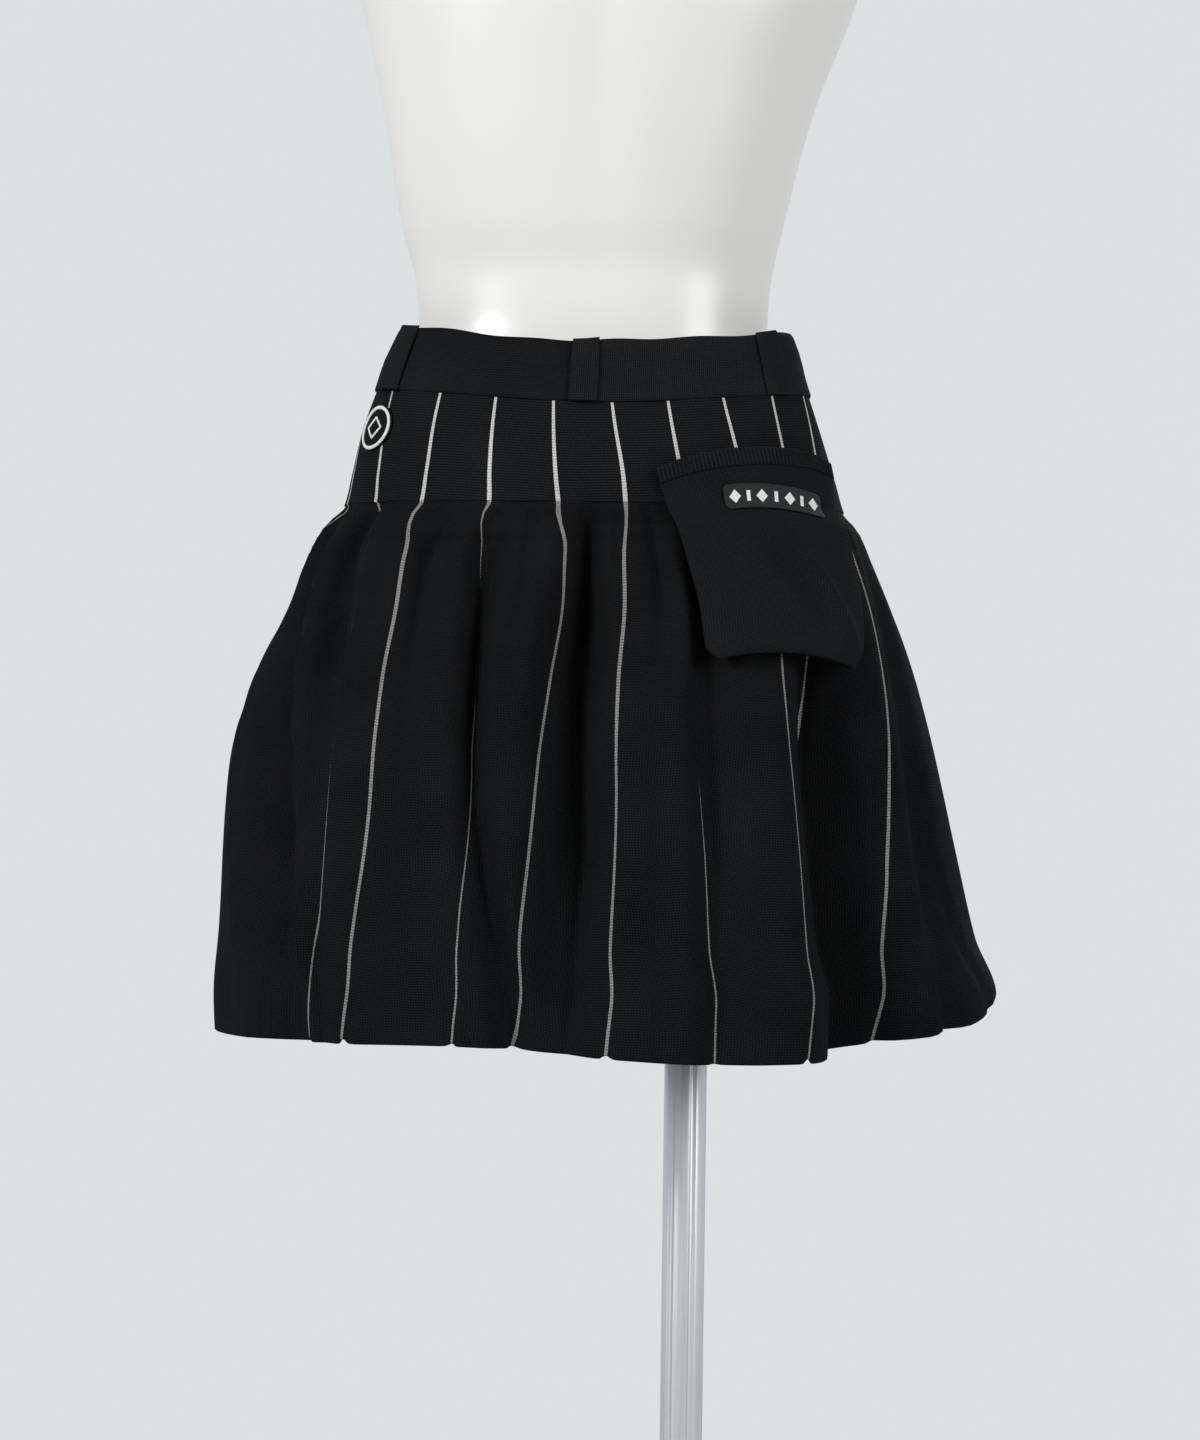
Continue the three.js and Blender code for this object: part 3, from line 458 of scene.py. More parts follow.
def wall_rows(outer, inner):
    """Rows of a wall from its top over the outside, round the foot and up the inside."""
    middle_foot = (outer[:1] + inner[:1]) / 2
    middle_top = (outer[-1:] + inner[-1:]) / 2
    round_off = ROUND_OFF * np.linalg.norm(outer[0, 0] - inner[0, 0])
    middle_foot[..., 2] -= round_off
    middle_top[..., 2] += round_off
    return np.concatenate([outer[::-1], middle_foot, inner, middle_top], 0)


def slab_rows(front, back):
    """Rings round a slab with rounded edges: near edge, front, far edge, back."""
    first = (front[:, :1] + back[:, :1]) / 2
    last = (front[:, -1:] + back[:, -1:]) / 2
    return np.concatenate([first, front, last, back[:, ::-1]], 1)


def capped(name, rings):
    """A stack of closed rings with the first and the last filled by strips of quads."""
    piece = cloth(name, rings, False)
    count, size = rings.shape[:2]
    bm = bmesh.new()
    bm.from_mesh(piece.data)
    bm.verts.ensure_lookup_table()
    for start in (0, (count - 1) * size):
        loop = bm.verts[start:start + size]
        lo = 0
        hi = size - 1
        while hi - lo > 2:
            bm.faces.new((loop[lo], loop[lo + 1], loop[hi - 1], loop[hi])).smooth = True
            lo += 1
            hi -= 1
        if hi - lo == 2:
            bm.faces.new((loop[lo], loop[lo + 1], loop[hi])).smooth = True
    bmesh.ops.recalc_face_normals(bm, faces=bm.faces)
    bm.to_mesh(piece.data)
    bm.free()
    return piece


def dress(piece, materials, slot, *nodes):
    for material in materials:
        piece.data.materials.append(material)
    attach(piece, "root")
    if nodes:
        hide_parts(*nodes)
    return piece


# Materials.
def node_material(name):
    material = bpy.data.materials.new(name)
    material.use_nodes = True
    tree = material.node_tree
    return material, tree, tree.nodes["Principled BSDF"]


def link_math(tree, operation, a, b=None, clamp=False):
    node = tree.nodes.new("ShaderNodeMath")
    node.operation = operation
    node.use_clamp = clamp
    for socket, value in ((0, a), (1, b)):
        if value is None:
            continue
        if isinstance(value, (int, float)):
            node.inputs[socket].default_value = value
        else:
            tree.links.new(value, node.inputs[socket])
    return node.outputs[0]


def stitch_wave(tree, coordinate, pitch):
    """Rounded ridges along one texture axis, one each pitch."""
    turn = link_math(tree, "MULTIPLY", coordinate, 2 * math.pi / pitch)
    return link_math(tree, "ABSOLUTE", link_math(tree, "SINE", link_math(tree, "MULTIPLY", turn, 0.5)))


def cloth_axes(tree):
    """The two texture axes of a piece of cloth, in metres."""
    uv = tree.nodes.new("ShaderNodeUVMap")
    uv.uv_map = "cloth"
    split = tree.nodes.new("ShaderNodeSeparateXYZ")
    tree.links.new(uv.outputs["UV"], split.inputs[0])
    return split.outputs["X"], split.outputs["Y"]


def object_place(tree):
    return tree.nodes.new("ShaderNodeTexCoord").outputs["Object"]


def noise(tree, vector, scale, detail=2.0):
    node = tree.nodes.new("ShaderNodeTexNoise")
    node.inputs["Scale"].default_value = scale
    node.inputs["Detail"].default_value = detail
    tree.links.new(vector, node.inputs["Vector"])
    return node.outputs["Fac"]


def paint(tree, shader, value, stops):
    """Colour by a value, between two stops of position and colour."""
    node = tree.nodes.new("ShaderNodeValToRGB")
    for element, (at, colour) in zip(node.color_ramp.elements, stops):
        element.position = at
        element.color = (*colour, 1.0)
    tree.links.new(value, node.inputs["Fac"])
    tree.links.new(node.outputs["Color"], shader.inputs["Base Color"])


def bump(tree, shader, height, strength=1.0):
    node = tree.nodes.new("ShaderNodeBump")
    node.inputs["Strength"].default_value = strength
    node.inputs["Distance"].default_value = 1.0
    tree.links.new(height, node.inputs["Height"])
    tree.links.new(node.outputs["Normal"], shader.inputs["Normal"])


# Noise scales of the yarn, and how much stitches, grain and patches add to its colour; the stitches' share
# is painted shade in the grooves between them.
YARN_GRAIN = 900.0
YARN_PATCHES = 22.0
STITCH_SHADE = 0.45
GRAIN_SHARE = 0.35
PATCH_SHARE = 0.3
FUZZ = 0.0003


def knit(name, dark, light, wale, course, wale_depth, course_depth, roughness=0.9):
    """Knitted cloth: wales run down the piece and courses across it, with a little fuzz and painted shade
    between the stitches.
    """
    material, tree, shader = node_material(name)
    across, down = cloth_axes(tree)
    wales = stitch_wave(tree, across, wale)
    courses = stitch_wave(tree, down, course)
    place = object_place(tree)
    fine = noise(tree, place, YARN_GRAIN, 3.0)
    broad = noise(tree, place, YARN_PATCHES, 3.0)
    relief = link_math(tree, "ADD", link_math(tree, "MULTIPLY", wales, wale_depth),
                       link_math(tree, "MULTIPLY", courses, course_depth))
    relief = link_math(tree, "ADD", relief, link_math(tree, "MULTIPLY", fine, FUZZ))
    bump(tree, shader, relief)
    # Painted shade: the colour darkens in the grooves between stitches, where the bump relief is low.
    mixed = link_math(tree, "MULTIPLY", wales, courses)
    mixed = link_math(tree, "ADD", link_math(tree, "MULTIPLY", mixed, STITCH_SHADE),
                      link_math(tree, "MULTIPLY", fine, GRAIN_SHARE))
    mixed = link_math(tree, "ADD", mixed, link_math(tree, "MULTIPLY", broad, PATCH_SHARE), clamp=True)
    paint(tree, shader, mixed, ((0.25, dark), (0.8, light)))
    shader.inputs["Roughness"].default_value = roughness
    shader.inputs["Specular IOR Level"].default_value = 0.02
    return material


BAND_DARK, BAND_LIGHT = (0.0052, 0.0055, 0.0060), (0.0250, 0.0260, 0.0275)
YOKE_DARK, YOKE_LIGHT = (0.0036, 0.0038, 0.0042), (0.0178, 0.0186, 0.0198)
# Painted shade: the lower panel's black knit is set darker than the yoke's, for the shade that falls over
# the lower panel.
PANEL_DARK, PANEL_LIGHT = (0.0026, 0.0028, 0.0031), (0.0150, 0.0156, 0.0166)
POCKET_DARK, POCKET_LIGHT = (0.0038, 0.0040, 0.0044), (0.0182, 0.0190, 0.0202)
RIB_DARK, RIB_LIGHT = (0.0046, 0.0049, 0.0053), (0.0225, 0.0234, 0.0248)
PALE_DARK, PALE_LIGHT = (0.34, 0.34, 0.335), (0.72, 0.72, 0.705)
GREY_DARK, GREY_LIGHT = (0.10, 0.10, 0.099), (0.36, 0.36, 0.352)
LABEL_DARK, LABEL_LIGHT = (0.012, 0.013, 0.014), (0.030, 0.031, 0.034)
THREAD_DARK, THREAD_LIGHT = (0.62, 0.62, 0.61), (0.86, 0.86, 0.85)
SHELL_DARK, SHELL_LIGHT = (0.765, 0.750, 0.715), (0.800, 0.788, 0.755)
FLOOR_DARK, FLOOR_LIGHT = (0.62, 0.65, 0.67), (0.66, 0.69, 0.71)

panel_knit = knit("panel_knit", PANEL_DARK, PANEL_LIGHT, 0.0016, 0.0014, 0.00013, 0.00013)
yoke_knit = knit("yoke_knit", YOKE_DARK, YOKE_LIGHT, 0.0016, 0.0015, 0.00006, 0.00026)
band_knit = knit("band_knit", BAND_DARK, BAND_LIGHT, 0.00115, 0.0014, 0.00034, 0.00005)
pocket_knit = knit("pocket_knit", POCKET_DARK, POCKET_LIGHT, 0.0016, 0.0014, 0.00014, 0.00012)
rib_knit = knit("rib_knit", RIB_DARK, RIB_LIGHT, 0.0016, 0.0012, 0.00002, 0.00010)
pale_knit = knit("pale_knit", PALE_DARK, PALE_LIGHT, 0.0009, 0.0016, 0.00005, 0.00025, roughness=0.8)
grey_knit = knit("grey_knit", GREY_DARK, GREY_LIGHT, 0.0009, 0.0016, 0.00005, 0.00025, roughness=0.8)


def label_material():
    material, tree, shader = node_material("woven_label")
    across, down = cloth_axes(tree)
    warp = stitch_wave(tree, across, 0.0005)
    weft = stitch_wave(tree, down, 0.0007)
    relief = link_math(tree, "ADD", link_math(tree, "MULTIPLY", warp, 0.00005),
                       link_math(tree, "MULTIPLY", weft, 0.00008))
    bump(tree, shader, relief)
    # Painted shade: the colour darkens between the threads, where the bump relief is low.
    mixed = link_math(tree, "MULTIPLY", warp, weft)
    paint(tree, shader, mixed, ((0.1, LABEL_DARK), (0.9, LABEL_LIGHT)))
    shader.inputs["Roughness"].default_value = 0.7
    shader.inputs["Specular IOR Level"].default_value = 0.15
    return material


def thread_material():
    material, tree, shader = node_material("white_thread")
    place = object_place(tree)
    fine = noise(tree, place, 1600.0)
    paint(tree, shader, fine, ((0.3, THREAD_DARK), (0.7, THREAD_LIGHT)))
    bump(tree, shader, link_math(tree, "MULTIPLY", fine, 0.0002))
    shader.inputs["Roughness"].default_value = 0.65
    return material


def form_material():
    material, tree, shader = node_material("form_shell")
    place = object_place(tree)
    broad = noise(tree, place, 5.0, 3.0)
    fine = noise(tree, place, 260.0)
    paint(tree, shader, broad, ((0.3, SHELL_DARK), (0.7, SHELL_LIGHT)))
    rough = link_math(tree, "ADD", link_math(tree, "MULTIPLY", fine, 0.06), 0.30)
    tree.links.new(rough, shader.inputs["Roughness"])
    bump(tree, shader, link_math(tree, "MULTIPLY", broad, 0.0006), 0.6)
    shader.inputs["Coat Weight"].default_value = 0.25
    shader.inputs["Coat Roughness"].default_value = 0.22
    return material


def metal_material(name, colour, roughness, grain):
    material, tree, shader = node_material(name)
    place = object_place(tree)
    stretch = tree.nodes.new("ShaderNodeMapping")
    stretch.inputs["Scale"].default_value = grain
    tree.links.new(place, stretch.inputs["Vector"])
    lines = noise(tree, stretch.outputs["Vector"], 1.0, 3.0)
    low = tuple(0.88 * c for c in colour)
    paint(tree, shader, lines, ((0.3, low), (0.7, colour)))
    rough = link_math(tree, "ADD", link_math(tree, "MULTIPLY", lines, 0.16), roughness)
    tree.links.new(rough, shader.inputs["Roughness"])
    shader.inputs["Metallic"].default_value = 1.0
    return material


woven_label = label_material()
white_thread = thread_material()
form_shell = form_material()
pole_metal = metal_material("pole_metal", (0.66, 0.67, 0.69), 0.30, (900.0, 900.0, 6.0))
base_metal = metal_material("base_metal", (0.56, 0.57, 0.58), 0.34, (240.0, 8.0, 240.0))

# Lower panel and yoke.
GORE_COLUMNS = 20
PANEL_ROWS = 84


def per_degree(phi, height):
    a = panel_point(phi - ARC_STEP, height, 0.0)
    b = panel_point(phi + ARC_STEP, height, 0.0)
    return np.linalg.norm(b - a, axis=-1) / math.degrees(2 * ARC_STEP)


def stripe_half(height):
    """Half the width of every stripe at each height: one row for each height."""
    panel = np.stack([curve(STRIPE_WIDTH_HEIGHTS, row, height) for row in STRIPE_WIDTHS], 1) / 1000
    for row, low, high in HIDDEN_STRIPES:
        hidden = np.clip(np.minimum(height - low, high - height) / HIDDEN_FADE, 0, 1)
        panel[:, row] += (HAIR - panel[:, row]) * hidden
    h = height[:, None] + 0 * panel
    yoke = np.interp(h, YOKE_STRIPE_HEIGHTS, (STRIPE_YOKE, STRIPE_BAND))
    meet = np.interp(h, STRIPE_MEETS, (0, 1))
    return (panel + (yoke - panel) * meet) / 2


def gore_angles(heights):
    """Column angles in degrees, a row for each height: both edges of each stripe and steps between."""
    start = np.stack([curve(STRIPE_HEIGHTS, row, heights) for row in STRIPES], 1)
    half = stripe_half(heights) / per_degree(np.radians(start), heights[:, None] + 0 * start)
    end = np.concatenate([start[:, 1:], start[:, :1] + 360.0], 1)
    end_half = np.concatenate([half[:, 1:], half[:, :1]], 1)
    a, b = start + half, end - end_half
    t = np.linspace(0, 1, GORE_COLUMNS)
    angles = a[..., None] + (b - a)[..., None] * t
    return angles.reshape(len(heights), -1)


COLUMN_SHARE = np.tile(np.linspace(0, 1, GORE_COLUMNS), len(STRIPES))
COLUMN_NEAR = np.minimum(COLUMN_SHARE, 1 - COLUMN_SHARE)
COLUMN_SLOTS = (COLUMN_SHARE == 1).astype(int)
COLUMN_STRIPE = (np.arange(len(COLUMN_SHARE)) // GORE_COLUMNS + (COLUMN_SHARE > 0.5)) % len(STRIPES)


# Rows added close to the hem and close to the yoke line, where the cloth turns sharply.
EXTRA_LEVELS = (0.0004, 0.0014, 0.2935, 0.2960, 0.2973, 0.2980)
# Where a stripe is narrower than this the gores beside it sink deeper, most at this height.
NARROW_STRIPE = 0.0016
NARROW_FADE = 0.0010
DEEP_SWELL = 0.0016
SWELL_HEIGHT = 0.19
SWELL_REACH = 0.11
SWELL_RISE = 6
SWELL_FADE = 0.1


def build_panel():
    levels = PANEL_EDGE * (1 - np.linspace(0, 1, PANEL_ROWS) ** 0.85)
    levels = np.union1d(levels, EXTRA_LEVELS)
    phi = np.radians(gore_angles(levels))
    height = levels[:, None] + 0 * phi
    share = (1 - height / PANEL_TOP).clip(0, 1) ** 2
    notch = np.array(HEM_NOTCH)[COLUMN_STRIPE] * np.exp(-((COLUMN_NEAR * GORE_WIDE / NOTCH_WIDE) ** 2))
    height = height + hem_lift(phi) * share + notch * (1 - height / NOTCH_TALL).clip(0, 1)
    outer = panel_point(phi, height, 0.0)
    inner = panel_point(phi, height, KNIT)
    # Each gore swells a little between its stripes, most near the hem.
    stripe_wide = stripe_half(levels)[:, COLUMN_STRIPE] * 2
    narrow = np.clip((NARROW_STRIPE - stripe_wide) / NARROW_FADE, 0, 1)
    sunk = GORE_SWELL + DEEP_SWELL * narrow * trough((height - SWELL_HEIGHT) / SWELL_REACH)
    swell = sunk * np.sin(0.5 * np.pi * np.minimum(COLUMN_NEAR * SWELL_RISE, 1)) - sunk + GORE_SWELL
    swell = swell * np.clip((PANEL_TOP - height) / SWELL_FADE, 0, 1)
    direction = (outer - inner) / KNIT
    outer = outer + direction * (swell[..., None] - GORE_SWELL)
    inner = outer - direction * KNIT
    return cloth("skirt_panel", wall_rows(outer, inner), slots=COLUMN_SLOTS)


def build_yoke():
    share = np.union1d(np.linspace(0, 1, 18), [0.004, 0.02, 0.98, 0.996])
    middle = YOKE_FOOT + (BAND_FOOT - YOKE_FOOT) * share
    phi = np.radians(gore_angles(middle))
    top = BAND_FOOT + BAND_DIP * waist_lift(phi) - SEAM
    height = YOKE_FOOT + (top - YOKE_FOOT) * share[:, None]
    soft = YOKE_WAVE * (np.sin(9 * phi + 60 * height) + np.sin(17 * phi - 40 * height))
    outer = outline_point(phi, height, soft - 0.0002)
    inner = outline_point(phi, height, soft - KNIT)
    return cloth("skirt_yoke", wall_rows(outer, inner), slots=COLUMN_SLOTS)


skirt_panel = dress(build_panel(), (panel_knit, grey_knit), "knit_black",
                    "lower_panel_back_left", "lower_panel_back_right",
                    "lower_panel_front_left", "lower_panel_front_right")
skirt_yoke = dress(build_yoke(), (yoke_knit, pale_knit), "knit_black", "yoke")


# Waistband and belt loops.
def band_point(phi, share, out):
    foot = BAND_FOOT + BAND_DIP * waist_lift(phi)
    top = BAND_TOP + waist_lift(phi)
    wavy = 0.0007 * np.sin(5 * phi + 0.6) + 0.0005 * np.sin(13 * phi)
    height = foot + (top + wavy - foot) * share
    return outline_point(phi, height, BAND_PROUD + out)


# Across the band from its foot: share of its height and how far it stands out there.
BAND_CROWN = ((0.0, -0.0008), (0.03, -0.0001), (0.1, 0.0), (0.3, 0.0002), (0.5, 0.0003),
              (0.7, 0.0002), (0.88, 0.0), (0.95, -0.0003), (0.985, -0.0009))
# The same along a belt loop: share of the band's height and how far it hangs away from the band.
LOOP_HANG = ((0.01, 0.0), (0.03, 0.0), (0.07, 0.0001), (0.14, 0.0004), (0.3, 0.0006), (0.5, 0.0007),
             (0.7, 0.0006), (0.86, 0.0004), (0.95, 0.0002), (1.0, 0.0002), (1.03, 0.0002))
LOOP_ROUND = 0.0005
LOOP_END_ROUND = 0.0004
LOOP_TUCK = 0.00025


def build_band():
    phi = np.radians(np.linspace(0, 360, 480, endpoint=False))[None, :]
    share, crown = np.array(BAND_CROWN).T[..., None]
    dent = 0.0003 * np.sin(6 * phi + 8 * share) + 0.0002 * np.sin(21 * phi)
    outer = band_point(phi + 0 * share, share + 0 * phi, crown + dent - 0.0002)
    inner = band_point(phi + 0 * share, share + 0 * phi, -BAND_THICK - crown + dent * 0.5)
    return cloth("skirt_waistband", wall_rows(outer, inner))


waistband = dress(build_band(), (band_knit,), "knit_black", "waistband")


def build_loop(index, at, wide):
    shares, away = np.array(LOOP_HANG).T
    side = np.linspace(-1, 1, 25)
    here = band_point(np.radians(np.array([at, at + 1.0])), np.array([0.5, 0.5]), 0.0)
    half = wide / 2 / np.linalg.norm(here[1] - here[0])
    phi = np.radians(at + side * half)[None, :] + 0 * shares[:, None]
    edge = LOOP_ROUND * (1 - np.abs(side) ** 6)[None, :] - LOOP_ROUND
    from_end = np.minimum(shares - shares[0], shares[-1] - shares)
    end = LOOP_END_ROUND * np.clip(from_end / 0.03, 0, 1)[:, None] - LOOP_END_ROUND
    tuck = LOOP_TUCK * np.exp(-(((np.abs(side) - 0.8) / 0.06) ** 2))[None, :]
    share = shares[:, None] + 0 * phi
    front = band_point(phi, share, SEWN_ON + away[:, None] + LOOP_THICK + edge + end - tuck)
    back = band_point(phi, share, SEWN_ON + away[:, None] + 0 * phi)
    piece = capped(f"skirt_belt_loop_{index}", slab_rows(front, back))
    return dress(piece, (band_knit,), "knit_black", f"belt_loop_{index}")


belt_loops = [build_loop(i + 1, at, wide) for i, (at, wide) in enumerate(LOOPS)]


# Pocket, its rib and its label.
POCKET_RIDGE = 0.0046
POCKET_DIP = 0.0026
POCKET_CORNER = 0.0016
POCKET_ROLL = 0.0011


def pocket_point(rows, across, down, out):
    left, middle, right, start, end, away, _ = columns(rows, down)
    height = (left * 2 * (across - 0.5) * (across - 1) + middle * 4 * across * (1 - across)
              + right * 2 * across * (across - 0.5))
    return outline_point(np.radians(start + (end - start) * across), height, away + out)


def hollow_depth(rows, across, down):
    return columns(rows, down)[6] * np.maximum(np.sin(np.pi * across), 0) ** 0.8


def pocket_front(across, down, out):
    # A soft diagonal ridge where the pouch bends over the fold behind it.
    line = 0.52 + 0.40 * np.clip((down - 0.30) / 0.62, 0, 1)
    ridge = POCKET_RIDGE * np.exp(-np.abs((across - line) / 0.045) ** 1.4) * trough((down - 0.58) / 0.44)
    dip = POCKET_DIP * np.exp(-(((across - line + 0.15) / 0.09) ** 2)) * trough((down - 0.56) / 0.45)
    corner = POCKET_CORNER * np.exp(-(((across - 0.86) / 0.10) ** 2)) * trough((down - 0.86) / 0.22)
    hollow = hollow_depth(POCKET_ROWS, across, down)
    return pocket_point(POCKET_ROWS, across, down, 2 * POCKET_WALL + hollow + ridge - dip + corner + out)


def build_pocket():
    across = 0.5 - 0.5 * np.cos(np.pi * np.linspace(0, 1, 61))
    across = 0.35 * across + 0.65 * np.linspace(0, 1, 61)
    down = np.concatenate([np.linspace(0, 0.9, 46), [0.92, 0.94, 0.96, 0.975, 0.988, 0.996, 1.0]])
    inner_across = 0.025 + 0.95 * across
    inner_down = np.linspace(0.9, 0.0, 24)

    def loop(a, d, inset):
        roll = np.clip(np.minimum(np.minimum(a, 1 - a) / 0.02, (1.0 - d) / 0.016), 0, 1)
        roll = POCKET_ROLL * (1 - np.sqrt(1 - (1 - roll) ** 2))
        front = pocket_front(a, d + 0 * a, -inset - (roll if inset == 0 else 0))
        back = pocket_point(POCKET_ROWS, a, d + 0 * a, inset)
        return np.concatenate([front, back[::-1]], 0)

    rows = [loop(inner_across, d, POCKET_WALL * 0.9) for d in inner_down]
    rows += [loop(across, d, 0.0) for d in down]
    return capped("skirt_pocket", np.stack(rows))


skirt_pocket = dress(build_pocket(), (pocket_knit,), "knit_black", "pocket")


def build_rib():
    across = np.linspace(0, 1, RIB_COUNT * 8 + 1)[None, :]
    down = np.array([0.0, 0.02, 0.06, 0.2, 0.4, 0.6, 0.8, 0.94, 0.98, 1.0])[:, None]
    across, down = across + 0 * down, down + 0 * across
    ribs = RIB_RELIEF * np.abs(np.sin(np.pi * RIB_COUNT * across)) ** 0.7
    lip = 0.0007 * np.clip(1 - down / 0.06, 0, 1) ** 2 + 0.0003 * np.clip((down - 0.96) / 0.04, 0, 1) ** 2
    hollow = hollow_depth(RIB_ROWS, across, down)
    front = pocket_point(RIB_ROWS, across, down, 2 * POCKET_WALL + hollow + ribs - lip)
    back = pocket_point(RIB_ROWS, across, down, hollow)
    return capped("skirt_pocket_rib", slab_rows(front, back))


pocket_rib = dress(build_rib(), (rib_knit,), "knit_black", "pocket_rib")


LABEL_THICK = 0.0010
LABEL_LIP = 0.0003
LABEL_ROUND = 0.035


def label_point(across, down, out):
    s = LABEL["start"] + (LABEL["end"] - LABEL["start"]) * across
    t = LABEL["top"] + (LABEL["foot"] - LABEL["top"]) * down + LABEL["droop"] * across**1.5
    return pocket_front(s, t, 3 * SEAM + out)


def build_label():
    side = np.linspace(-1, 1, 65)
    rows = np.linspace(0, 1, 15)
    front, back = [], []
    for down in rows:
        bend = max(abs(2 * down - 1) - 0.62, 0) / 0.38
        inset = LABEL_ROUND * (1 - math.sqrt(max(1 - bend**2, 0)))
        across = 0.5 + side * (0.5 - inset)
        lip = LABEL_LIP * np.clip((np.abs(side) - 0.94) / 0.06, 0, 1)
        lip += LABEL_LIP * max(abs(2 * down - 1) - 0.8, 0) / 0.2
        front.append(label_point(across, down + 0 * across, LABEL_THICK - lip))
        back.append(label_point(across, down + 0 * across, 0 * across))
    return capped("skirt_pocket_label", slab_rows(np.stack(front), np.stack(back)))


pocket_label = dress(build_label(), (woven_label,), "label_black", "pocket_label")


# Lozenges and bars in turn: middle and half-width as shares of the label.
LOZENGES = ((0.10, 0.055), (0.23, 0.040), (0.36, 0.055), (0.50, 0.040),
            (0.64, 0.055), (0.77, 0.040), (0.90, 0.055))
LOZENGE_STEPS = 7
LOZENGE_OUT = 0.00115
LOZENGE_HALF_HEIGHT = 0.27


def build_lozenges():
    """A row of plain woven lozenges and bars in the place of the label's lettering."""
    points, faces = [], []
    steps = np.linspace(-1, 1, LOZENGE_STEPS)
    for i, (middle, half) in enumerate(LOZENGES):
        is_lozenge = i % 2 == 0
        for v in steps:
            width = 1 - abs(v) + 0.02 if is_lozenge else 0.45
            down = 0.5 + LOZENGE_HALF_HEIGHT * v * (1.0 if is_lozenge else 0.8)
            points += list(label_point(middle + half * steps * width, down + 0 * steps, LOZENGE_OUT))
        for row in range(LOZENGE_STEPS - 1):
            for col in range(LOZENGE_STEPS - 1):
                a = (i * LOZENGE_STEPS + row) * LOZENGE_STEPS + col
                faces.append((a, a + LOZENGE_STEPS, a + LOZENGE_STEPS + 1, a + 1))
    return mesh_object("label_lozenges", points, faces)


label_lozenges = dress(build_lozenges(), (white_thread,), "label_black")


# Side patch.
def patch_point(u, v, out):
    phi = np.radians(PATCH["at"] + PATCH["half_angle"] * u)
    return outline_point(phi, PATCH["height"] + PATCH["half_height"] * v, SEWN_ON + out)


def build_patch():
    angle = np.linspace(0, 2 * math.pi, 64, endpoint=False)
    radii = np.array([0.02, 0.3, 0.6, 0.85, 0.95, 1.0])[:, None]
    u, v = radii * np.cos(angle), radii * np.sin(angle)
    thick = np.array([0.0011, 0.0011, 0.0011, 0.0010, 0.0008, 0.0004])[:, None]
    front = patch_point(u, v, thick + 0 * u)
    back = patch_point(u[::-1], v[::-1], 0 * u)
    return capped("skirt_side_patch", np.concatenate([front, back], 0))


side_patch = dress(build_patch(), (yoke_knit,), "patch_black", "side_patch")


CORD_OUT = 0.0013
CORD_FLAT = 0.7


def cord_grid(path, normals, radius):
    """Rings of points along a closed cord, one ring at each point of its path."""
    ahead = np.roll(path, -1, 0) - np.roll(path, 1, 0)
    side = np.cross(ahead, normals)
    side /= np.linalg.norm(side, axis=1)[:, None]
    turn = np.linspace(0, 2 * math.pi, 8, endpoint=False)[None, :, None]
    wide = side[:, None] * np.cos(turn)
    tall = normals[:, None] * CORD_FLAT * np.sin(turn)
    return path[:, None] + radius * (wide + tall)


def build_cords():
    """Pale embroidered cords: an oval border and a small lozenge within it."""
    oval, lozenge = (np.linspace(0, 2 * math.pi, count, endpoint=False) for count in (72, 40))
    size = 0.462 / (np.abs(np.cos(lozenge)) + np.abs(np.sin(lozenge)))
    cords = []
    for i, (angle, scale, radius) in enumerate(((oval, 0.9, 0.00105), (lozenge, size, 0.0007))):
        u, v = scale * np.cos(angle), scale * np.sin(angle)
        path = patch_point(u, v, CORD_OUT + 0 * u)
        normals = patch_point(u, v, CORD_OUT + 0.001 + 0 * u) - path
        normals /= np.linalg.norm(normals, axis=1)[:, None]
        cords.append(cloth(f"patch_cord_{i}", cord_grid(path, normals, radius)))
    return cords


patch_cords = [dress(piece, (white_thread,), "patch_black") for piece in build_cords()]


# Form and stand.
BACK_GROOVE = 0.0035


def build_form():
    low, high = FORM_SECTIONS[0][0], FORM_SECTIONS[-1][0]
    levels = np.unique(np.concatenate([
        np.linspace(low, low + 0.04, 14), np.linspace(low + 0.04, high - 0.01, 120),
        np.linspace(high - 0.01, high, 6)]))
    phi = np.radians(np.linspace(0, 360, 192, endpoint=False))[None, :]
    height = levels[:, None] + 0 * phi
    x, y, nx, ny = ring(FORM_SECTIONS, phi + 0 * height, height)
    groove = BACK_GROOVE * np.exp(-((x + 0.004) / 0.016) ** 2) * trough((height - 0.56) / 0.19) * (y < 0)
    rings = np.stack([x - nx * groove, y - ny * groove, HEM + height], -1)
    return capped("form_body", rings)


form_body = dress(build_form(), (form_shell,), "form_white", "form_torso")


def build_disc(name, x, profile, count):
    """Round part of the stand on an upright axis at x, from a profile of radius and height."""
    angle = np.linspace(0, 2 * math.pi, count, endpoint=False)
    rings = [[(x + r * math.cos(a), r * math.sin(a), z) for a in angle] for r, z in profile]
    return capped(name, np.array(rings))


SOCKET_TOP = HEM + FORM_FOOT - SEAM
SOCKET_FOOT = SOCKET_TOP - 0.006
SOCKET_PROFILE = (
    (0.0270, SOCKET_FOOT), (0.0288, SOCKET_FOOT + 0.0004), (0.0300, SOCKET_FOOT + 0.0016),
    (0.0300, SOCKET_TOP - 0.0004), (0.0296, SOCKET_TOP))
PLATE_PROFILE = (
    (BASE_R - 0.002, 0.0), (BASE_R, 0.0015), (BASE_R, BASE_THICK - 0.0022),
    (BASE_R - 0.0009, BASE_THICK - 0.0008), (BASE_R - 0.003, BASE_THICK))
socket = build_disc("stand_socket", POLE_X, SOCKET_PROFILE, 96)
dress(socket, (base_metal,), "steel", "pole_socket")
plate = build_disc("stand_plate", 0.0, PLATE_PROFILE, 160)
dress(plate, (base_metal,), "steel", "stand_base")

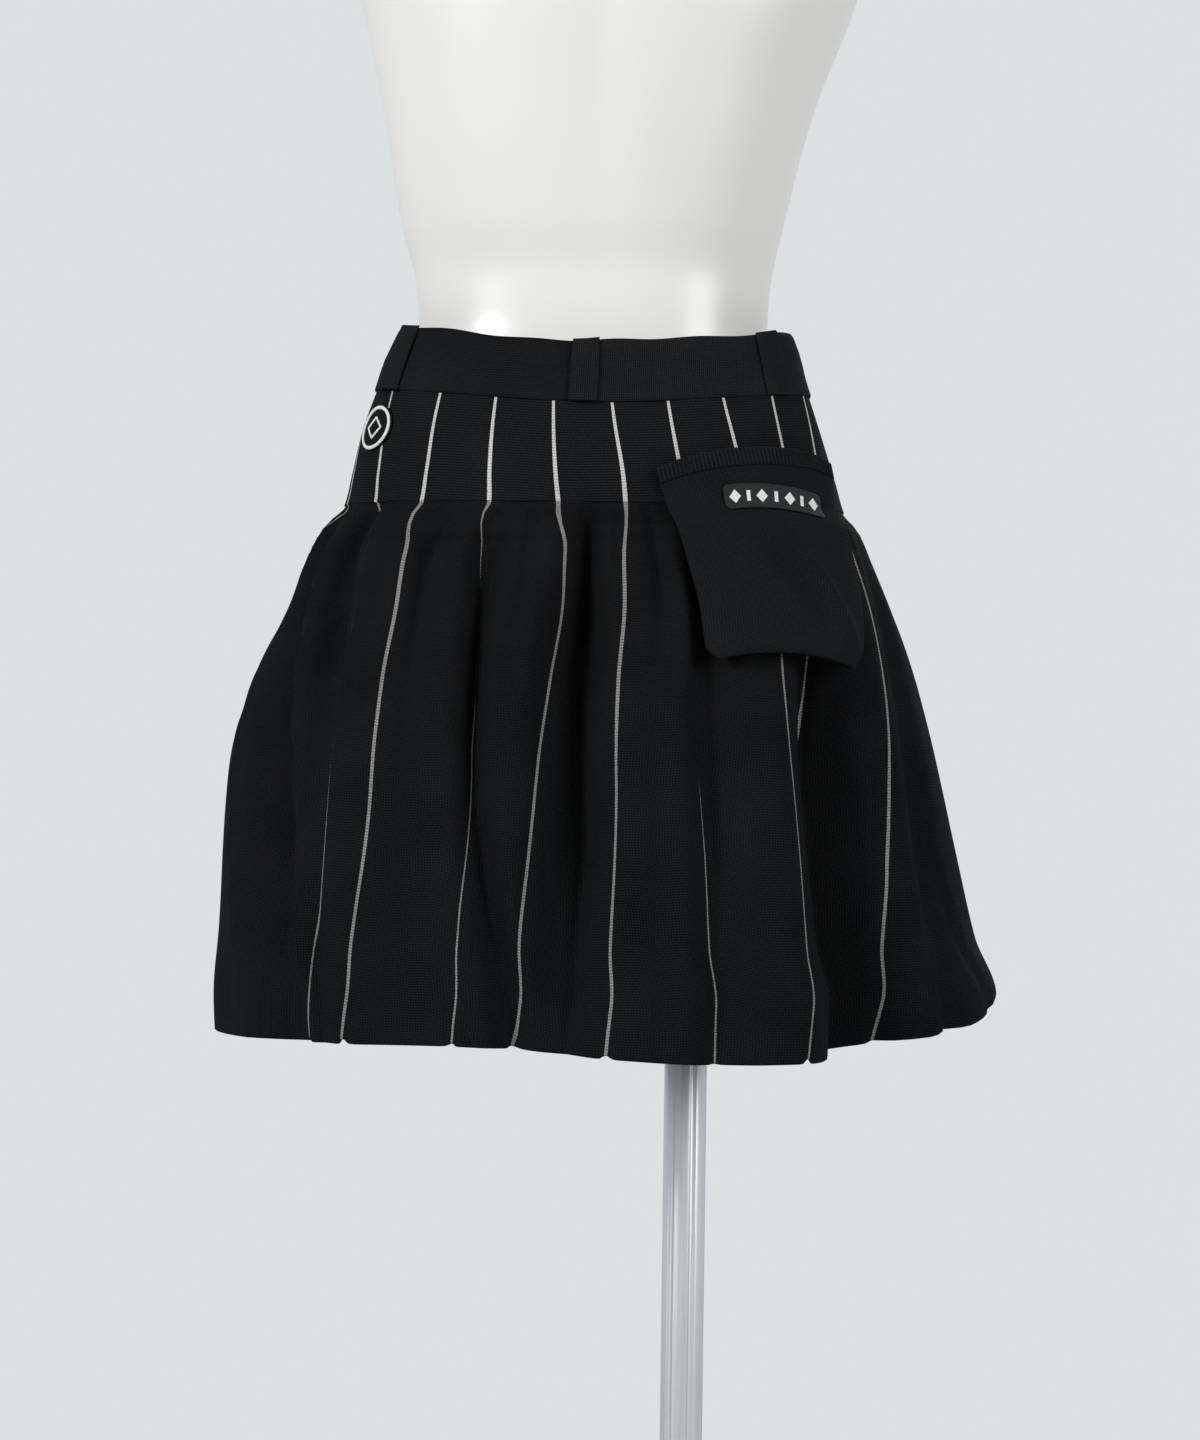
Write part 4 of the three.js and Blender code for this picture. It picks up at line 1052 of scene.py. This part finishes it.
# One sixth of the pole's outline: degrees and radius, first the flat and then the groove.
FLUTE = ((0, 0.0119), (2, POLE_R), (14, 0.01195), (21, 0.0119), (28, 0.01195), (40, POLE_R),
         (42, 0.0119), (45, 0.0111), (48, 0.0108), (54, 0.0108), (57, 0.0111))
END_SHARE = 0.97
END_BEVEL = 0.0006


def build_pole():
    """Fluted pole: six flats with a groove between each pair."""
    outline = [(math.radians(60 * k + turn), r) for k in range(6) for turn, r in FLUTE]
    foot = BASE_THICK + SEAM
    top = SOCKET_FOOT - SEAM
    levels = ((END_SHARE, foot), (1, foot + END_BEVEL), (1, 0.2), (1, 0.45),
              (1, top - END_BEVEL), (END_SHARE, top))
    rings = [[(POLE_X + r * share * math.cos(a), r * share * math.sin(a), z) for a, r in outline]
             for share, z in levels]
    return capped("stand_pole", np.array(rings))


dress(build_pole(), (pole_metal,), "aluminium", "pole")


# Stage, light and camera.
FLOOR_R = 2.3
FLOOR_Z = -0.0002


def build_floor():
    angle = np.linspace(0, 2 * math.pi, 96, endpoint=False)
    rim = [(FLOOR_R * math.cos(a), FLOOR_R * math.sin(a), FLOOR_Z) for a in angle]
    points = [(0.0, 0.0, FLOOR_Z), *rim]
    faces = [(0, 1 + i, 1 + (i + 1) % len(rim)) for i in range(len(rim))]
    piece = mesh_object("floor", points, faces, smooth=False)
    material, tree, shader = node_material("floor_pale")
    place = object_place(tree)
    paint(tree, shader, noise(tree, place, 3.0), ((0.3, FLOOR_DARK), (0.7, FLOOR_LIGHT)))
    shader.inputs["Roughness"].default_value = 0.9
    piece.data.materials.append(material)
    return piece


build_floor()

BACKDROP = (0.715, 0.748, 0.762, 1.0)
BACKDROP_LIGHT = 0.32


def build_world():
    """The backdrop as seen at full strength, while it lights the part with less."""
    world = bpy.data.worlds.new("studio")
    bpy.context.scene.world = world
    world.use_nodes = True
    tree = world.node_tree
    shown = tree.nodes["Background"]
    shown.inputs["Color"].default_value = BACKDROP
    lit = tree.nodes.new("ShaderNodeBackground")
    lit.inputs["Color"].default_value = BACKDROP
    lit.inputs["Strength"].default_value = BACKDROP_LIGHT
    path = tree.nodes.new("ShaderNodeLightPath")
    mix = tree.nodes.new("ShaderNodeMixShader")
    direct = link_math(tree, "MAXIMUM", path.outputs["Is Camera Ray"], path.outputs["Is Glossy Ray"])
    tree.links.new(direct, mix.inputs[0])
    tree.links.new(lit.outputs[0], mix.inputs[1])
    tree.links.new(shown.outputs[0], mix.inputs[2])
    tree.links.new(mix.outputs[0], tree.nodes["World Output"].inputs["Surface"])


build_world()


def area_light(name, place, target, size, power):
    light = bpy.data.lights.new(name, "AREA")
    light.shape = "RECTANGLE"
    light.size, light.size_y = size
    light.energy = power
    lamp = bpy.data.objects.new(name, light)
    bpy.context.scene.collection.objects.link(lamp)
    lamp.location = place
    lamp.rotation_euler = (Vector(target) - Vector(place)).to_track_quat("-Z", "Y").to_euler()


AIM = (0.0, 0.0, 0.95)
area_light("key", (-2.22, -1.96, 2.1), AIM, (0.8, 0.8), 69.0)
area_light("fill", (2.3, -1.8, 1.9), AIM, (1.2, 1.5), 44.0)
area_light("back", (0.6, 2.6, 2.2), AIM, (1.6, 1.2), 30.0)

# The photograph: level, 2.5 m from the body's axis, 180 mm above the hem, leaning a little.
CAMERA_AWAY = 2.5
CAMERA_ABOVE_HEM = 0.180
CAMERA_LEAN = math.radians(0.76)
PIXELS_PER_METRE = 1770.0
IMAGE_HEIGHT = 1440
SENSOR = 36.0
camera_data = bpy.data.cameras.new("camera")
camera_data.sensor_width = SENSOR
camera_data.lens = SENSOR * CAMERA_AWAY / (IMAGE_HEIGHT / PIXELS_PER_METRE)
camera = bpy.data.objects.new("camera", camera_data)
bpy.context.scene.collection.objects.link(camera)
camera.location = (0.0, -CAMERA_AWAY, HEM + CAMERA_ABOVE_HEM)
camera.rotation_euler = (math.radians(90), -CAMERA_LEAN, 0.0)
bpy.context.scene.camera = camera
bpy.context.scene.view_settings.view_transform = "Standard"
